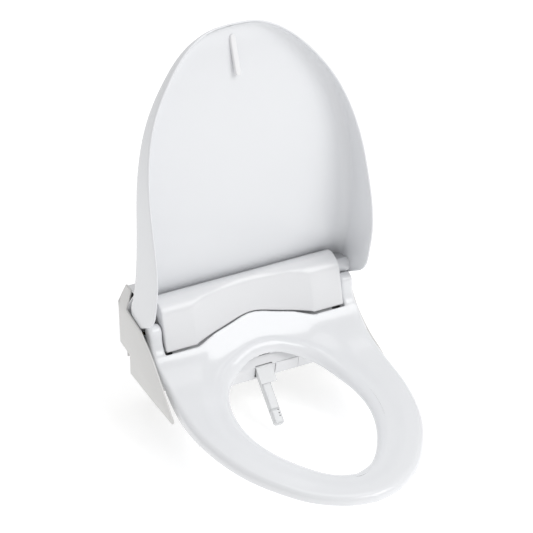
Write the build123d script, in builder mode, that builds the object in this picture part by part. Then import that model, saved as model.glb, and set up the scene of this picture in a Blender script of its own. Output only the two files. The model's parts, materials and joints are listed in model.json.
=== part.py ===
"""Electric bidet seat: lid, heated seat, wash wand and main unit on a bowl bracket.

Units are millimetres.  Seen from the front, +X is to the right, +Y is away towards the wall
and +Z is up.  The origin is midway between the two bowl bolts, on the plane of the bowl's rim.
The lid is open, the seat is down and the wand is out.
"""

import os
from math import atan, cos, pi, radians, sin, sqrt

from build123d import *

os.makedirs("parts", exist_ok=True)

# ---------------------------------------------------------------- driving dimensions
HALF_WIDTH = 193.5  # outer face of a side cover
COVER_WALL = 2.2  # side cover's wall
WALL = 2.5  # moulded wall of the other covers
UNIT_BACK = 54.0  # rear face of the main unit
SEAT_FRONT = -471.0
LID_FRONT = -475.0
BOLT_SPACING = 140.0
BOLT_RADIUS = 4.0
BOLT_REACH = 50.0  # length of a bolt below the bowl's rim
BOLT_NECK = 4.4  # shank inside the bracket

LID_AXIS = (-14.0, 121.0)  # y and z of the lid's hinge line
LID_EYE = 11.5
LID_PIN = 5.0
LID_OPEN = 106.8  # degrees from closed to open
SEAT_AXIS = (-33.0, 104.0)  # y and z of the seat's hinge line
SEAT_EYE = 12.5
SEAT_PIN = 4.5
BORE_GAP = 0.06  # radial clearance of a pin in its eye

ROLL_HALF = 158.8  # half length of the hinge cover between the seat's ears
ROLL_RADIUS = 30.5  # round of the hinge cover about the lid's hinge line
KNEE = 105.0  # half width of the arch in the hinge cover's lower edge

CASE_HALF = 181.0
CASE_FRONT = -60.0
CASE_BACK = 51.0
FLOOR_TOP = 7.0
FLOOR_LOW = 4.5
POCKET_HALF = 92.0
POCKET_LOW = -8.0
TUNNEL_HALF = 104.0  # tunnel under the unit that slides over the bracket
TUNNEL_FRONT = -32.0
TUNNEL_TOP = 13.5

WAND_SLOPE = 42.0  # degrees below level
WAND_X = -5.5  # middle of the wand
WAND_WIDTH = 17.0
WAND_DEEP = 13.0
WAND_OUT = 98.0  # length that shows when the wand is out
WAND_LENGTH = 112.0
GATE_TOP = (-83.0, 14.7)  # y and z where the wand's upper face leaves the gate
TOOTH = 0.8  # module of the rack and pinion
PINION_TEETH = 16

AX = Vector(0, -cos(radians(WAND_SLOPE)), -sin(radians(WAND_SLOPE)))  # way out for the wand
UP = Vector(0, -sin(radians(WAND_SLOPE)), cos(radians(WAND_SLOPE)))  # out of its upper face


# ---------------------------------------------------------------- helpers
def side_face(outline, x=0.0):
    """A closed outline of (y, z) points, as a face square to X."""
    with BuildSketch(Plane.YZ.offset(x)) as face:
        with BuildLine():
            Polyline(*outline, close=True)
        make_face()
    return face.sketch


def front_face(outline, y=0.0):
    """A closed outline of (x, z) points, as a face square to Y that extrudes towards the user."""
    with BuildSketch(Plane.XZ.offset(-y)) as face:
        with BuildLine():
            Polyline(*outline, close=True)
        make_face()
    return face.sketch


def curved_face(curve, outline, x=0.0):
    """A side face with a smooth curve through its first (y, z) points, then straight runs."""
    with BuildSketch(Plane.YZ.offset(x)) as face:
        with BuildLine():
            Spline(*curve)
            Polyline(curve[-1], *outline, curve[0])
        make_face()
    return face.sketch


def grown(half, grow):
    """The (x, y) points of half a plan moved outwards, square to the line through their neighbours."""
    moved = []
    for i, (x, y) in enumerate(half):
        before = half[max(i - 1, 0)] if i else (-half[1][0], half[1][1])
        after = half[min(i + 1, len(half) - 1)]
        if i == len(half) - 1 and x == 0:
            after = (-half[i - 1][0], half[i - 1][1])
        dx, dy = after[0] - before[0], after[1] - before[1]
        size = sqrt(dx * dx + dy * dy)
        moved.append((x + grow * dy / size, y - grow * dx / size))
    return moved


def plan_face(half, grow=0.0):
    """A smooth outline through (x, y) points on one side, mirrored about the middle plane."""
    points = grown(half, grow) if grow else half
    last = points[-1]
    with BuildSketch() as face:
        with BuildLine():
            right = Spline(*points)
            mirror(right, about=Plane.YZ)
            if last[0] > 0:
                Line((-last[0], last[1]), last)
        make_face()
    return face.sketch


def polar(centre, radius, degrees):
    """The (y, z) point at a radius and an angle above level-rearwards from a centre."""
    a = radians(degrees)
    return (centre[0] + radius * cos(a), centre[1] + radius * sin(a))


def arc_points(centre, radius, start, stop, count):
    """Points along an arc, for the corner rounds of a side outline."""
    step = (stop - start) / (count - 1)
    return [polar(centre, radius, start + step * i) for i in range(count)]


def strip(path, thick):
    """A bent sheet in side view: the path's points, then the same path moved inwards."""
    inner = []
    for i, (y, z) in enumerate(path):
        before = path[max(i - 1, 0)]
        after = path[min(i + 1, len(path) - 1)]
        dy, dz = after[0] - before[0], after[1] - before[1]
        size = sqrt(dy * dy + dz * dz)
        inner.append((y + thick * dz / size, z - thick * dy / size))
    return path + inner[::-1]


def wand_point(along, up, x=WAND_X):
    """A point on the wand: along its way out from the gate, and up from its upper face."""
    start = Vector(x, GATE_TOP[0], GATE_TOP[1])
    return start + AX * along + UP * up


def wand_plane(along, up):
    """A plane square to the wand's way out, with its local x along X."""
    return Plane(origin=wand_point(along, up), x_dir=(1, 0, 0), z_dir=tuple(AX))


# ---------------------------------------------------------------- outlines
# half plans are (x, y) from the front to the back, side lines are (y, z)
SEAT_HALF = [(0, SEAT_FRONT), (33, -465), (65, -450), (95, -427), (120, -396), (145, -356), (165, -308),
             (176, -265), (183, -215), (184, -170), (182.5, -125), (182, -70), (183, -10)]
HOLE_HALF = [(0, -400), (29, -389), (52, -366), (75, -329), (94, -284), (103, -235), (101, -185),
             (90, -143), (79, -123), (61, -106), (44, -96), (21, -87), (0, -85)]
LID_HALF = [(0, LID_FRONT), (42, -471), (72, -458), (97, -439), (132, -398), (152, -366), (169, -326),
            (180, -284), (186, -244), (189, -196), (190.3, -146), (190.3, -93), (189.6, -24), (189, 25)]
SEAT_TOP_LINE = [(-485, 22.5), (-400, 25), (-300, 25.5), (-225, 26), (-180, 28), (-150, 32), (-132, 36),
                 (-110, 42.5), (-90, 51), (-75, 59.5), (-60, 71), (-48, 84), (-36, 97)]
SEAT_LOW_LINE = [(-22, 95), (-35, 80), (-60, 57), (-86, 38), (-106, 24), (-123, 15.6), (-143, 10),
                 (-160, 7.5), (-485, 7.5)]
LID_TOP_LINE = [(-486, 19), (-466, 31), (-425, 36.5), (-345, 43), (-255, 57), (-195, 71), (-135, 90),
                (-90, 111), (-60, 129)]
LID_RIM_LINE = [(-13, 71), (-25, 54), (-55, 33), (-92, 14), (-120, 6), (-145, 2), (-195, 0.5),
                (-243, 0.5), (-275, 1.5), (-325, 4), (-365, 6), (-425, 10), (-455, 14), (-486, 18)]
LID_WALL = 3.0
LID_ROUND = 35.5  # outer round of the lid about its hinge line
LID_TAIL = 50.0  # angle at which the closed lid ends behind its hinge line
SEAT_WALL = 3.2
EAR_IN = 160.1
EAR_OUT = 182.0
ARM_IN = 164.0


def lowered(line, drop):
    """A side line moved down."""
    return [(y, z - drop) for y, z in line]


def shut_lid_face(wall):
    """The closed lid's side outline: its top line, the round behind it and the rim."""
    back = arc_points(LID_AXIS, LID_ROUND - wall, 140, LID_TAIL, 10)
    top = lowered(LID_TOP_LINE, wall) + back
    with BuildSketch(Plane.YZ) as face:
        with BuildLine():
            Spline(*top)
            if wall:
                Polyline(back[-1], (60, 150), (60, -20), (-500, -20), top[0])
            else:
                Line(top[-1], LID_RIM_LINE[0])
                Spline(*LID_RIM_LINE)
                Line(LID_RIM_LINE[-1], top[0])
        make_face()
    return face.sketch


def seat_keep_out(grow):
    """The room that the hinge cover needs as the seat turns: a round about the seat's hinge line."""
    arch = [(-KNEE, 39.8), (-78, 28.4), (-48, 19.6), (-26, 12.8), (0, 8.2),
            (26, 12.8), (48, 19.6), (78, 28.4), (KNEE, 39.8)]
    arch = [(x, r + grow) for x, r in arch]
    end = EAR_IN + grow
    axis = Axis((0, *SEAT_AXIS), (1, 0, 0))
    with BuildPart() as room:
        with BuildSketch(Plane(origin=(0, *SEAT_AXIS), x_dir=(1, 0, 0), z_dir=(0, 0, 1))):
            with BuildLine():
                Spline(*arch)
                Polyline(arch[-1], (end, arch[-1][1]), (end, 0), (-end, 0), (-end, arch[0][1]), arch[0])
            make_face()
        revolve(axis=axis)
    return room.part


# ================================================================ seat
with BuildPart() as seat_blank:
    extrude(curved_face(SEAT_TOP_LINE, SEAT_LOW_LINE), amount=HALF_WIDTH, both=True)
    extrude(plan_face(SEAT_HALF), amount=130, mode=Mode.INTERSECT)
    extrude(plan_face(HOLE_HALF), amount=130, mode=Mode.SUBTRACT)
    top_edges = seat_blank.edges().filter_by(
        lambda e: e.bounding_box().size.Y > 300 and e.bounding_box().max.Z > 40
    )
    fillet(top_edges, radius=9)

with BuildPart() as seat_core:
    extrude(plan_face(SEAT_HALF, -SEAT_WALL), amount=130)
    extrude(plan_face(HOLE_HALF, SEAT_WALL), amount=130, mode=Mode.SUBTRACT)

with BuildPart() as seat_cavity:
    inner_top = lowered(SEAT_TOP_LINE, SEAT_WALL)
    extrude(curved_face(inner_top, lowered(SEAT_LOW_LINE, 9)), amount=HALF_WIDTH, both=True)
    add(seat_core.part, mode=Mode.INTERSECT)
    add(seat_keep_out(SEAT_WALL), mode=Mode.SUBTRACT)

with BuildPart() as seat_top:
    add(seat_blank.part)
    add(seat_cavity.part, mode=Mode.SUBTRACT)
    ear = [(-88, 50), (-60, 71), (-47, 85), (-45.5, 104), (-33, 104), (-21.5, 99), (-36, 80),
           (-62, 55), (-86, 38)]
    for side in (-1, 1):
        extrude(side_face(ear, side * EAR_IN), amount=side * (EAR_OUT - EAR_IN))
        with Locations(Plane(origin=(side * (EAR_IN + EAR_OUT) / 2, *SEAT_AXIS), z_dir=(1, 0, 0))):
            Cylinder(SEAT_EYE, EAR_OUT - EAR_IN)
            Cylinder(SEAT_PIN + BORE_GAP, EAR_OUT - EAR_IN, mode=Mode.SUBTRACT)
    add(seat_keep_out(0), mode=Mode.SUBTRACT)
seat_top.part.label = "seat_top"
export_step(seat_top.part, "parts/seat_top.step")

with BuildPart() as seat_base:
    extrude(side_face(SEAT_LOW_LINE + lowered(SEAT_LOW_LINE[::-1], -3)), amount=HALF_WIDTH, both=True)
    extrude(plan_face(SEAT_HALF, -SEAT_WALL - 0.2), amount=130, mode=Mode.INTERSECT)
    extrude(plan_face(HOLE_HALF, SEAT_WALL + 0.2), amount=130, mode=Mode.SUBTRACT)
    add(seat_keep_out(SEAT_WALL + 0.3), mode=Mode.SUBTRACT)
    Box(2 * HALF_WIDTH, 130, 200, mode=Mode.SUBTRACT)
    for side in (-1, 1):
        with Locations((side * (EAR_IN + 19.5), -45, 0)):
            Box(40, 90, 200, mode=Mode.SUBTRACT)
seat_base.part.label = "seat_base"
export_step(seat_base.part, "parts/seat_base.step")

HEATER_BACK = -120.0
with BuildPart() as seat_heater:
    heater_top = lowered(SEAT_TOP_LINE, SEAT_WALL + 0.2)
    extrude(curved_face(heater_top, lowered(SEAT_TOP_LINE[::-1], SEAT_WALL + 1.0)), amount=HALF_WIDTH, both=True)
    extrude(plan_face(SEAT_HALF, -16), amount=130, mode=Mode.INTERSECT)
    extrude(plan_face(HOLE_HALF, 16), amount=130, mode=Mode.SUBTRACT)
    split(bisect_by=Plane(origin=(0, HEATER_BACK, 0), z_dir=(0, 1, 0)), keep=Keep.BOTTOM)
seat_heater.part.label = "seat_heater"
export_step(seat_heater.part, "parts/seat_heater.step")

BUMPER_SPOTS = [(112, -345, 40), (141, -185, 0)]  # x, y and turn of a pad on one side
BUMPER_HEIGHT = 7.5
with BuildPart() as seat_bumpers:
    for x, y, turn in BUMPER_SPOTS:
        for side in (-1, 1):
            with BuildSketch():
                with Locations(Location((side * x, y), side * turn)):
                    SlotOverall(34, 13, rotation=90)
            extrude(amount=BUMPER_HEIGHT)
    fillet(seat_bumpers.faces().sort_by(Axis.Z)[:4].edges(), radius=2)
seat_bumpers.part.label = "seat_bumpers"
export_step(seat_bumpers.part, "parts/seat_bumpers.step")

# ================================================================ lid, made shut and then opened
def opened(piece):
    """The piece turned from shut to open about the lid's hinge line."""
    hinge = Location((0, *LID_AXIS))
    return hinge * Location((0, 0, 0), (-LID_OPEN, 0, 0)) * hinge.inverse() * piece


with BuildPart() as lid_hollow:
    extrude(shut_lid_face(LID_WALL), amount=HALF_WIDTH, both=True)
    extrude(Plane.XY.offset(-60) * plan_face(LID_HALF, -LID_WALL), amount=260, mode=Mode.INTERSECT)

with BuildPart() as lid_shut:
    extrude(shut_lid_face(0), amount=HALF_WIDTH, both=True)
    extrude(plan_face(LID_HALF), amount=200, mode=Mode.INTERSECT)
    add(lid_hollow.part, mode=Mode.SUBTRACT)
    arm = [polar(LID_AXIS, LID_EYE - 0.5, 160), polar(LID_AXIS, LID_ROUND - 1.5, 118),
           polar(LID_AXIS, LID_ROUND - 0.8, 97), polar(LID_AXIS, LID_ROUND - 1.5, 75),
           polar(LID_AXIS, LID_EYE - 0.5, 20)]
    for side in (-1, 1):
        reach = 187.5 - ARM_IN
        extrude(side_face(arm, side * ARM_IN), amount=side * reach)
        with Locations(Plane(origin=(side * (ARM_IN + reach / 2), *LID_AXIS), z_dir=(1, 0, 0))):
            Cylinder(LID_EYE, reach)
        with Locations(Plane(origin=(side * (ARM_IN + 8), *LID_AXIS), z_dir=(1, 0, 0))):
            Cylinder(LID_PIN + BORE_GAP, 16, mode=Mode.SUBTRACT)

with BuildPart() as lid_shell:
    add(opened(lid_shut.part))
lid_shell.part.label = "lid_shell"
export_step(lid_shell.part, "parts/lid_shell.step")

RIB_LENGTH = 66.0
RIB_FRONT = -456.0  # front end of the rib on the shut lid
with BuildPart() as rib_shut:
    with BuildSketch(Plane(origin=(0, RIB_FRONT + RIB_LENGTH / 2, 31.8), x_dir=(0, 1, 0), z_dir=(0, -0.06, -1))):
        SlotOverall(RIB_LENGTH, 9)
    extrude(amount=5.5)
    extrude(shut_lid_face(LID_WALL), amount=HALF_WIDTH, both=True, mode=Mode.INTERSECT)
    fillet(rib_shut.faces().sort_by(Axis.Z)[0].edges(), radius=2.5)

with BuildPart() as lid_bumper:
    add(opened(rib_shut.part))
lid_bumper.part.label = "lid_bumper"
export_step(lid_bumper.part, "parts/lid_bumper.step")

# ================================================================ hinge cover at the front
ROLL_FACE = [(-41.5, 67.8), (-47, 68.8), (-56.5, 74.3), (-41, 134), (-37.5, 141), (-30.5, 147)]
ROLL_PATH = ROLL_FACE + arc_points(LID_AXIS, ROLL_RADIUS, 98, -58, 24)
SCOOP_DEPTH = 14.0
SCOOP_RADIUS = (KNEE * KNEE + SCOOP_DEPTH * SCOOP_DEPTH) / (2 * SCOOP_DEPTH)
ARCH = [(-KNEE, 75.3), (-77.7, 82.2), (-48.4, 88.4), (-26, 94.5), (0, 98.6), (26, 94.5),
        (48.4, 88.4), (77.7, 82.2), (KNEE, 75.3)]
FACE_PLANE = Plane(origin=(0, -56.5, 74.3), x_dir=(1, 0, 0), z_dir=(0, 0.2513, 0.9679))

with BuildPart() as scoop:
    with BuildSketch(FACE_PLANE.offset(-12)):
        with Locations((0, SCOOP_DEPTH - SCOOP_RADIUS)):
            Circle(SCOOP_RADIUS)
        with Locations((0, 20)):
            Rectangle(2 * KNEE, 120, mode=Mode.INTERSECT)
    extrude(amount=95)

with BuildPart() as below_arch:
    with BuildSketch(Plane.XZ.offset(80)):
        with BuildLine():
            Spline(*ARCH)
            Polyline(ARCH[-1], (KNEE, 40), (-KNEE, 40), ARCH[0])
        make_face()
    extrude(amount=-56)

with BuildPart() as scoop_wall:
    with BuildSketch(FACE_PLANE.offset(-12)):
        with Locations((0, SCOOP_DEPTH - SCOOP_RADIUS)):
            Circle(SCOOP_RADIUS + WALL)
            Circle(SCOOP_RADIUS, mode=Mode.SUBTRACT)
        with Locations((0, 20)):
            Rectangle(2 * KNEE + 2 * WALL, 120, mode=Mode.INTERSECT)
    extrude(amount=95)
    extrude(side_face(ROLL_PATH), amount=ROLL_HALF - WALL, both=True, mode=Mode.INTERSECT)
    add(below_arch.part, mode=Mode.SUBTRACT)

with BuildPart() as front_cover:
    extrude(side_face(strip(ROLL_PATH, WALL)), amount=ROLL_HALF, both=True)
    add(below_arch.part, mode=Mode.SUBTRACT)
    add(scoop.part, mode=Mode.SUBTRACT)
    add(scoop_wall.part)
    for side in (-1, 1):
        extrude(side_face(ROLL_PATH, side * (ROLL_HALF - WALL)), amount=side * WALL)
        with Locations(Plane(origin=(side * ROLL_HALF, *LID_AXIS), z_dir=(1, 0, 0))):
            Cylinder(LID_PIN + 0.3, 4 * WALL, mode=Mode.SUBTRACT)
        with Locations(Plane(origin=(side * ROLL_HALF, *SEAT_AXIS), z_dir=(1, 0, 0))):
            Cylinder(SEAT_PIN + 0.3, 4 * WALL, mode=Mode.SUBTRACT)
front_cover.part.label = "front_cover"
export_step(front_cover.part, "parts/front_cover.step")

# ================================================================ covers behind and under the hinges
WELL_RADIUS = 38.5  # clears the lid's tail behind its hinge line
REAR_HALF = 191.1
REAR_PATH = (
    [polar(LID_AXIS, 31.5, -65)]
    + arc_points(LID_AXIS, WELL_RADIUS, -65, 36, 15)
    + [(19.5, 150), (44, 150), (51, 144), (UNIT_BACK, 133), (UNIT_BACK, FLOOR_TOP)]
)
with BuildPart() as rear_cover:
    extrude(side_face(strip(REAR_PATH, WALL)), amount=REAR_HALF, both=True)
    for side in (-1, 1):
        slope = [(side * 179, 152), (side * 190.7, 117.5), (side * 215, 117.5), (side * 215, 152)]
        extrude(front_face(slope, 60), amount=100, mode=Mode.SUBTRACT)
        corner = [(side * 181.3, 0), (side * 181.3, 36.2), (side * 215, 36.2), (side * 215, 0)]
        extrude(front_face(corner, 60), amount=60, mode=Mode.SUBTRACT)
    with Locations(Plane(origin=(0, UNIT_BACK, 62), x_dir=(1, 0, 0), z_dir=(0, 1, 0))):
        with GridLocations(110, 60, 4, 1):
            Cylinder(2.1, 12, mode=Mode.SUBTRACT)
    with Locations((120, UNIT_BACK, 100)):
        with GridLocations(7, 1, 8, 1):
            Box(3, 12, 26, mode=Mode.SUBTRACT)
    with Locations((0, UNIT_BACK, 0)):
        Box(2 * (TUNNEL_HALF - WALL), 12, 2 * (TUNNEL_TOP - WALL), mode=Mode.SUBTRACT)
rear_cover.part.label = "rear_cover"
export_step(rear_cover.part, "parts/rear_cover.step")

DECK_PATH = [(-78.5, 38.5), (-62, 50.5), (-40, 66), (-24, 80), (-19, 92)]
with BuildPart() as deck_cover:
    extrude(side_face(strip(DECK_PATH, WALL)), amount=144, both=True)
    for side in (-1, 1):
        toe = [(-100, 30), (-59.5, 30), (-59.5, 60), (-100, 60)]
        extrude(side_face(toe, side * POCKET_HALF), amount=side * 60, mode=Mode.SUBTRACT)
deck_cover.part.label = "deck_cover"
export_step(deck_cover.part, "parts/deck_cover.step")

WELL_PATH = [(-58, 51), (-40, 66), (-24, 80), (-8, 84)]
with BuildPart() as hinge_wells:
    for side in (-1, 1):
        extrude(side_face(strip(WELL_PATH, WALL), side * (ROLL_HALF + 0.3)), amount=side * 22)
hinge_wells.part.label = "hinge_wells"
export_step(hinge_wells.part, "parts/hinge_wells.step")

# ================================================================ side covers
COVER_SIDE = [(-92, 0), (14.5, 0), (14.5, 36), (UNIT_BACK, 39.5), (55.5, 118), (48, 150), (27, 150),
              (24.5, 118), (8, 116), (-30, 110), (-43.5, 102), (-66, 93), (-103, 60), (-128, 37),
              (-151, 15), (-153, 8), (-149, 3), (-138, 2.2), (-96, 2.2)]
COVER_FRONT = [(HALF_WIDTH, -1), (HALF_WIDTH, 118), (182.5, 151), (180, 151),
               (HALF_WIDTH - COVER_WALL, 117.5), (HALF_WIDTH - COVER_WALL, -1)]
LINER_SIDE = [(-92, 0.5), (-24, 0.5), (-24, 40), (-44, 84), (-60, 84), (-97, 52), (-120, 31), (-140, 13),
              (-142, 8), (-138, 4.6), (-92, 4.2)]
LINER_X = 185.8  # inner wall between the seat and the shut lid's skirt
ABOVE_RIGHT = [(-200, -5), (-141, -5), (-140, 8), (-128, 15), (-103, 21), (-66, 36), (-30, 64), (-10, 100),
               (4, 118), (4, 200), (-200, 200)]  # cut away: the right cover's front is lower
BUTTON_SPOT = (3.0, 16.0)
with BuildPart() as side_cover_left:
    extrude(side_face(COVER_SIDE), amount=-HALF_WIDTH)
    extrude(front_face([(-x, z) for x, z in COVER_FRONT], 80), amount=260, mode=Mode.INTERSECT)
    ledge = [(-92, 0), (14.5, 0), (14.5, 33.5), (51, 33.5), (51, 36), (12, 36), (12, 2.5), (-92, 2.5)]
    extrude(side_face(ledge, -HALF_WIDTH + 1), amount=HALF_WIDTH - CASE_HALF - 1.3)
    extrude(side_face(LINER_SIDE, -LINER_X), amount=1.2)
side_cover_left.part.label = "side_cover_left"
export_step(side_cover_left.part, "parts/side_cover_left.step")

with BuildPart() as side_cover_right:
    add(mirror(side_cover_left.part, about=Plane.YZ))
    extrude(side_face(ABOVE_RIGHT), amount=HALF_WIDTH + WALL, mode=Mode.SUBTRACT)
    with Locations(Plane(origin=(HALF_WIDTH, *BUTTON_SPOT), z_dir=(1, 0, 0))):
        Box(13.0, 17.0, 8, mode=Mode.SUBTRACT)
side_cover_right.part.label = "side_cover_right"
export_step(side_cover_right.part, "parts/side_cover_right.step")

# ================================================================ bottom case
INLET_SPOT = (-165.0, 33.0)
INLET_RADIUS = 10.48  # outside of the half-inch thread
INLET_NECK = 9.0
INLET_END = 8.0
INLET_TOP = 32.5
CORNER_IN = 148.0  # raised floor at the two rear corners, over the hose and the cord
CORNER_FRONT = 14.5
CORNER_FLOOR = 33.5
CASE_TOP = 48.0


def block(x, y, z, mode=Mode.ADD):
    """A box between pairs of (low, high) limits."""
    with Locations(((x[0] + x[1]) / 2, (y[0] + y[1]) / 2, (z[0] + z[1]) / 2)):
        Box(x[1] - x[0], y[1] - y[0], z[1] - z[0], mode=mode)


def sides(low, high):
    """The same (low, high) span in x on both sides."""
    return [(low, high), (-high, -low)]


with BuildPart() as bottom_case:
    block((-CASE_HALF, CASE_HALF), (CASE_FRONT, CASE_BACK), (FLOOR_LOW, CASE_TOP))
    block((-CASE_HALF + WALL, CASE_HALF - WALL), (CASE_FRONT + WALL, CASE_BACK - WALL),
          (FLOOR_TOP, CASE_TOP + 1), Mode.SUBTRACT)
    block((-TUNNEL_HALF, TUNNEL_HALF), (TUNNEL_FRONT, CASE_BACK), (FLOOR_LOW, TUNNEL_TOP))
    for span in sides(CORNER_IN - WALL, CASE_HALF):
        block(span, (CORNER_FRONT - WALL, CASE_BACK), (FLOOR_LOW, CORNER_FLOOR + WALL))
    for span in sides(CORNER_IN, CASE_HALF + 1):
        block(span, (CORNER_FRONT, CASE_BACK + 1), (0, CORNER_FLOOR), Mode.SUBTRACT)
    block((-TUNNEL_HALF + WALL, TUNNEL_HALF - WALL), (TUNNEL_FRONT + WALL, CASE_BACK + 1),
          (0, TUNNEL_TOP - WALL), Mode.SUBTRACT)
    pocket_back = -42.0
    block((-POCKET_HALF, POCKET_HALF), (CASE_FRONT, pocket_back), (POCKET_LOW, FLOOR_TOP))
    pocket_side = [(-76.5, POCKET_LOW), (pocket_back, POCKET_LOW), (pocket_back, FLOOR_TOP),
                   (-57.5, FLOOR_TOP), (-57.5, 46), (-61, 45.5), (-74, 35), (-80.5, 16)]
    for side in (-1, 1):
        extrude(side_face(pocket_side, side * POCKET_HALF), amount=-side * WALL)
    block((-POCKET_HALF, POCKET_HALF), (-76.8, CASE_FRONT), (POCKET_LOW, POCKET_LOW + WALL))
    block((-POCKET_HALF + WALL, POCKET_HALF - WALL), (-82, pocket_back - WALL),
          (POCKET_LOW + WALL, FLOOR_TOP + 1), Mode.SUBTRACT)
    block((-POCKET_HALF + WALL, POCKET_HALF - WALL), (-82, CASE_FRONT + WALL + 1),
          (POCKET_LOW + WALL, 60), Mode.SUBTRACT)
    with Locations((*INLET_SPOT, CORNER_FLOOR)):
        Cylinder(INLET_NECK + BORE_GAP, 8, mode=Mode.SUBTRACT)
    with Locations((165, 33, CORNER_FLOOR)):
        Cylinder(6.0, 8, mode=Mode.SUBTRACT)
    with Locations(Plane(origin=(CASE_HALF, *BUTTON_SPOT), z_dir=(1, 0, 0))):
        Cylinder(3.4, 10, mode=Mode.SUBTRACT)
bottom_case.part.label = "bottom_case"
export_step(bottom_case.part, "parts/bottom_case.step")

FOOT_SPOTS = [(-140, -48), (140, -48), (-165, 5), (165, 5)]
with BuildPart() as rubber_feet:
    with Locations(FOOT_SPOTS):
        Cylinder(9, FLOOR_LOW, align=(Align.CENTER, Align.CENTER, Align.MIN))
    fillet(rubber_feet.faces().sort_by(Axis.Z)[:4].edges(), radius=1.2)
rubber_feet.part.label = "rubber_feet"
export_step(rubber_feet.part, "parts/rubber_feet.step")

with BuildPart() as rear_screws:
    with Locations(Plane(origin=(0, UNIT_BACK, 62), x_dir=(1, 0, 0), z_dir=(0, 1, 0))):
        with GridLocations(110, 60, 4, 1):
            Cylinder(2.0, WALL + 6, align=(Align.CENTER, Align.CENTER, Align.MAX))
            Cylinder(4.0, 1.6, align=(Align.CENTER, Align.CENTER, Align.MIN))
rear_screws.part.label = "rear_screws"
export_step(rear_screws.part, "parts/rear_screws.step")

# ================================================================ gate panel, flap and dryer door
PANEL_PATH = [(-79.5, POCKET_LOW), (-84.5, 18), (-78.5, 34.5)]
FLAP_X = (-14.9, 13.4)
FLAP_THICK = 2.2
FLAP_LIFT = 0.8  # height of the flap's underside over the wand
FLAP_LENGTH = 28.0
DOOR_X = (21.5, 62.5)
DOOR_TOP = 17.0
PANEL_GAP = 0.9  # gap beside the flap and the door
knuckle = wand_point(-1.0, FLAP_LIFT + FLAP_THICK / 2)
door_hinge = Vector(0, -83.4, DOOR_TOP - 1.6)

with BuildPart() as gate_panel:
    extrude(side_face(strip(PANEL_PATH, WALL)), amount=POCKET_HALF - 0.2, both=True)
    block((FLAP_X[0] - PANEL_GAP, FLAP_X[1] + PANEL_GAP), (-90, -70), (-4, 20.4), Mode.SUBTRACT)
    block((DOOR_X[0] - PANEL_GAP, DOOR_X[1] + PANEL_GAP), (-90, -74), (-12, DOOR_TOP + 0.9), Mode.SUBTRACT)
    with Locations(Plane(origin=(-1, knuckle.Y, knuckle.Z), z_dir=(1, 0, 0))):
        Cylinder(1.0, 36, mode=Mode.SUBTRACT)
    with Locations(Plane(origin=(42, door_hinge.Y, door_hinge.Z), z_dir=(1, 0, 0))):
        Cylinder(0.8, 47, mode=Mode.SUBTRACT)
gate_panel.part.label = "gate_panel"
export_step(gate_panel.part, "parts/gate_panel.step")

with BuildPart() as gate_pins:
    with Locations(Plane(origin=(-0.75, knuckle.Y, knuckle.Z), z_dir=(1, 0, 0))):
        Cylinder(1.0, 34)
    with Locations(Plane(origin=(42, door_hinge.Y, door_hinge.Z), z_dir=(1, 0, 0))):
        Cylinder(0.8, 46)
gate_pins.part.label = "gate_pins"
export_step(gate_pins.part, "parts/gate_pins.step")

with BuildPart() as nozzle_flap:
    middle = (FLAP_X[0] + FLAP_X[1]) / 2
    wide = FLAP_X[1] - FLAP_X[0]
    with BuildSketch(Plane(origin=wand_point(FLAP_LENGTH / 2, FLAP_LIFT, middle), x_dir=(1, 0, 0), z_dir=tuple(UP))):
        RectangleRounded(wide, FLAP_LENGTH, 1.5)
    extrude(amount=FLAP_THICK)
    with Locations(Plane(origin=(middle, knuckle.Y, knuckle.Z), z_dir=(1, 0, 0))):
        Cylinder(1.9, wide)
        Cylinder(1.0 + BORE_GAP, wide, mode=Mode.SUBTRACT)
nozzle_flap.part.label = "nozzle_flap"
export_step(nozzle_flap.part, "parts/nozzle_flap.step")

with BuildPart() as dryer_door:
    door_middle = (DOOR_X[0] + DOOR_X[1]) / 2
    door_wide = DOOR_X[1] - DOOR_X[0]
    extrude(side_face([(-80.4, -7.2), (-84.7, 15.4), (-82.6, 15.4), (-78.4, -7.2)], DOOR_X[0]), amount=door_wide)
    with Locations(Plane(origin=(door_middle, door_hinge.Y, door_hinge.Z), z_dir=(1, 0, 0))):
        Cylinder(1.6, door_wide)
        Cylinder(0.8 + BORE_GAP, door_wide, mode=Mode.SUBTRACT)
dryer_door.part.label = "dryer_door"
export_step(dryer_door.part, "parts/dryer_door.step")

# ================================================================ wand with its rack and pinion
WAND_BACK = WAND_OUT - WAND_LENGTH  # rear end, measured along the way out from the gate
HEAD_LENGTH = 28.0
RACK_WIDE = 4.0
RACK_TALL = 2.6
PITCH_UP = -WAND_DEEP + TOOTH * 0.875  # the rack's pitch line, up from the wand's upper face
PINION_RADIUS = TOOTH * PINION_TEETH / 2
PINION_ALONG = -10.0
ADDENDUM = 0.7
DEDENDUM = 1.1
PRESSURE = radians(20)
TOOTH_PITCH = TOOTH * pi
RACK_BACK = WAND_BACK + 1.0
RACK_TEETH = 37
HOLE_ALONG = (74.0, 79.5, 84.0)
HOLE_X = WAND_X + 4.0


def wand_section(along):
    """The wand's outline square to its way out."""
    with BuildSketch(wand_plane(along, -WAND_DEEP / 2)) as face:
        RectangleRounded(WAND_WIDTH, WAND_DEEP, 3.2)
    return face.sketch


with BuildPart() as rack_slot:
    with BuildSketch(wand_plane(WAND_BACK - 1, -WAND_DEEP + RACK_TALL / 2)):
        Rectangle(RACK_WIDE + 0.2, RACK_TALL + 0.2)
    extrude(amount=WAND_LENGTH - 10)

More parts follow.
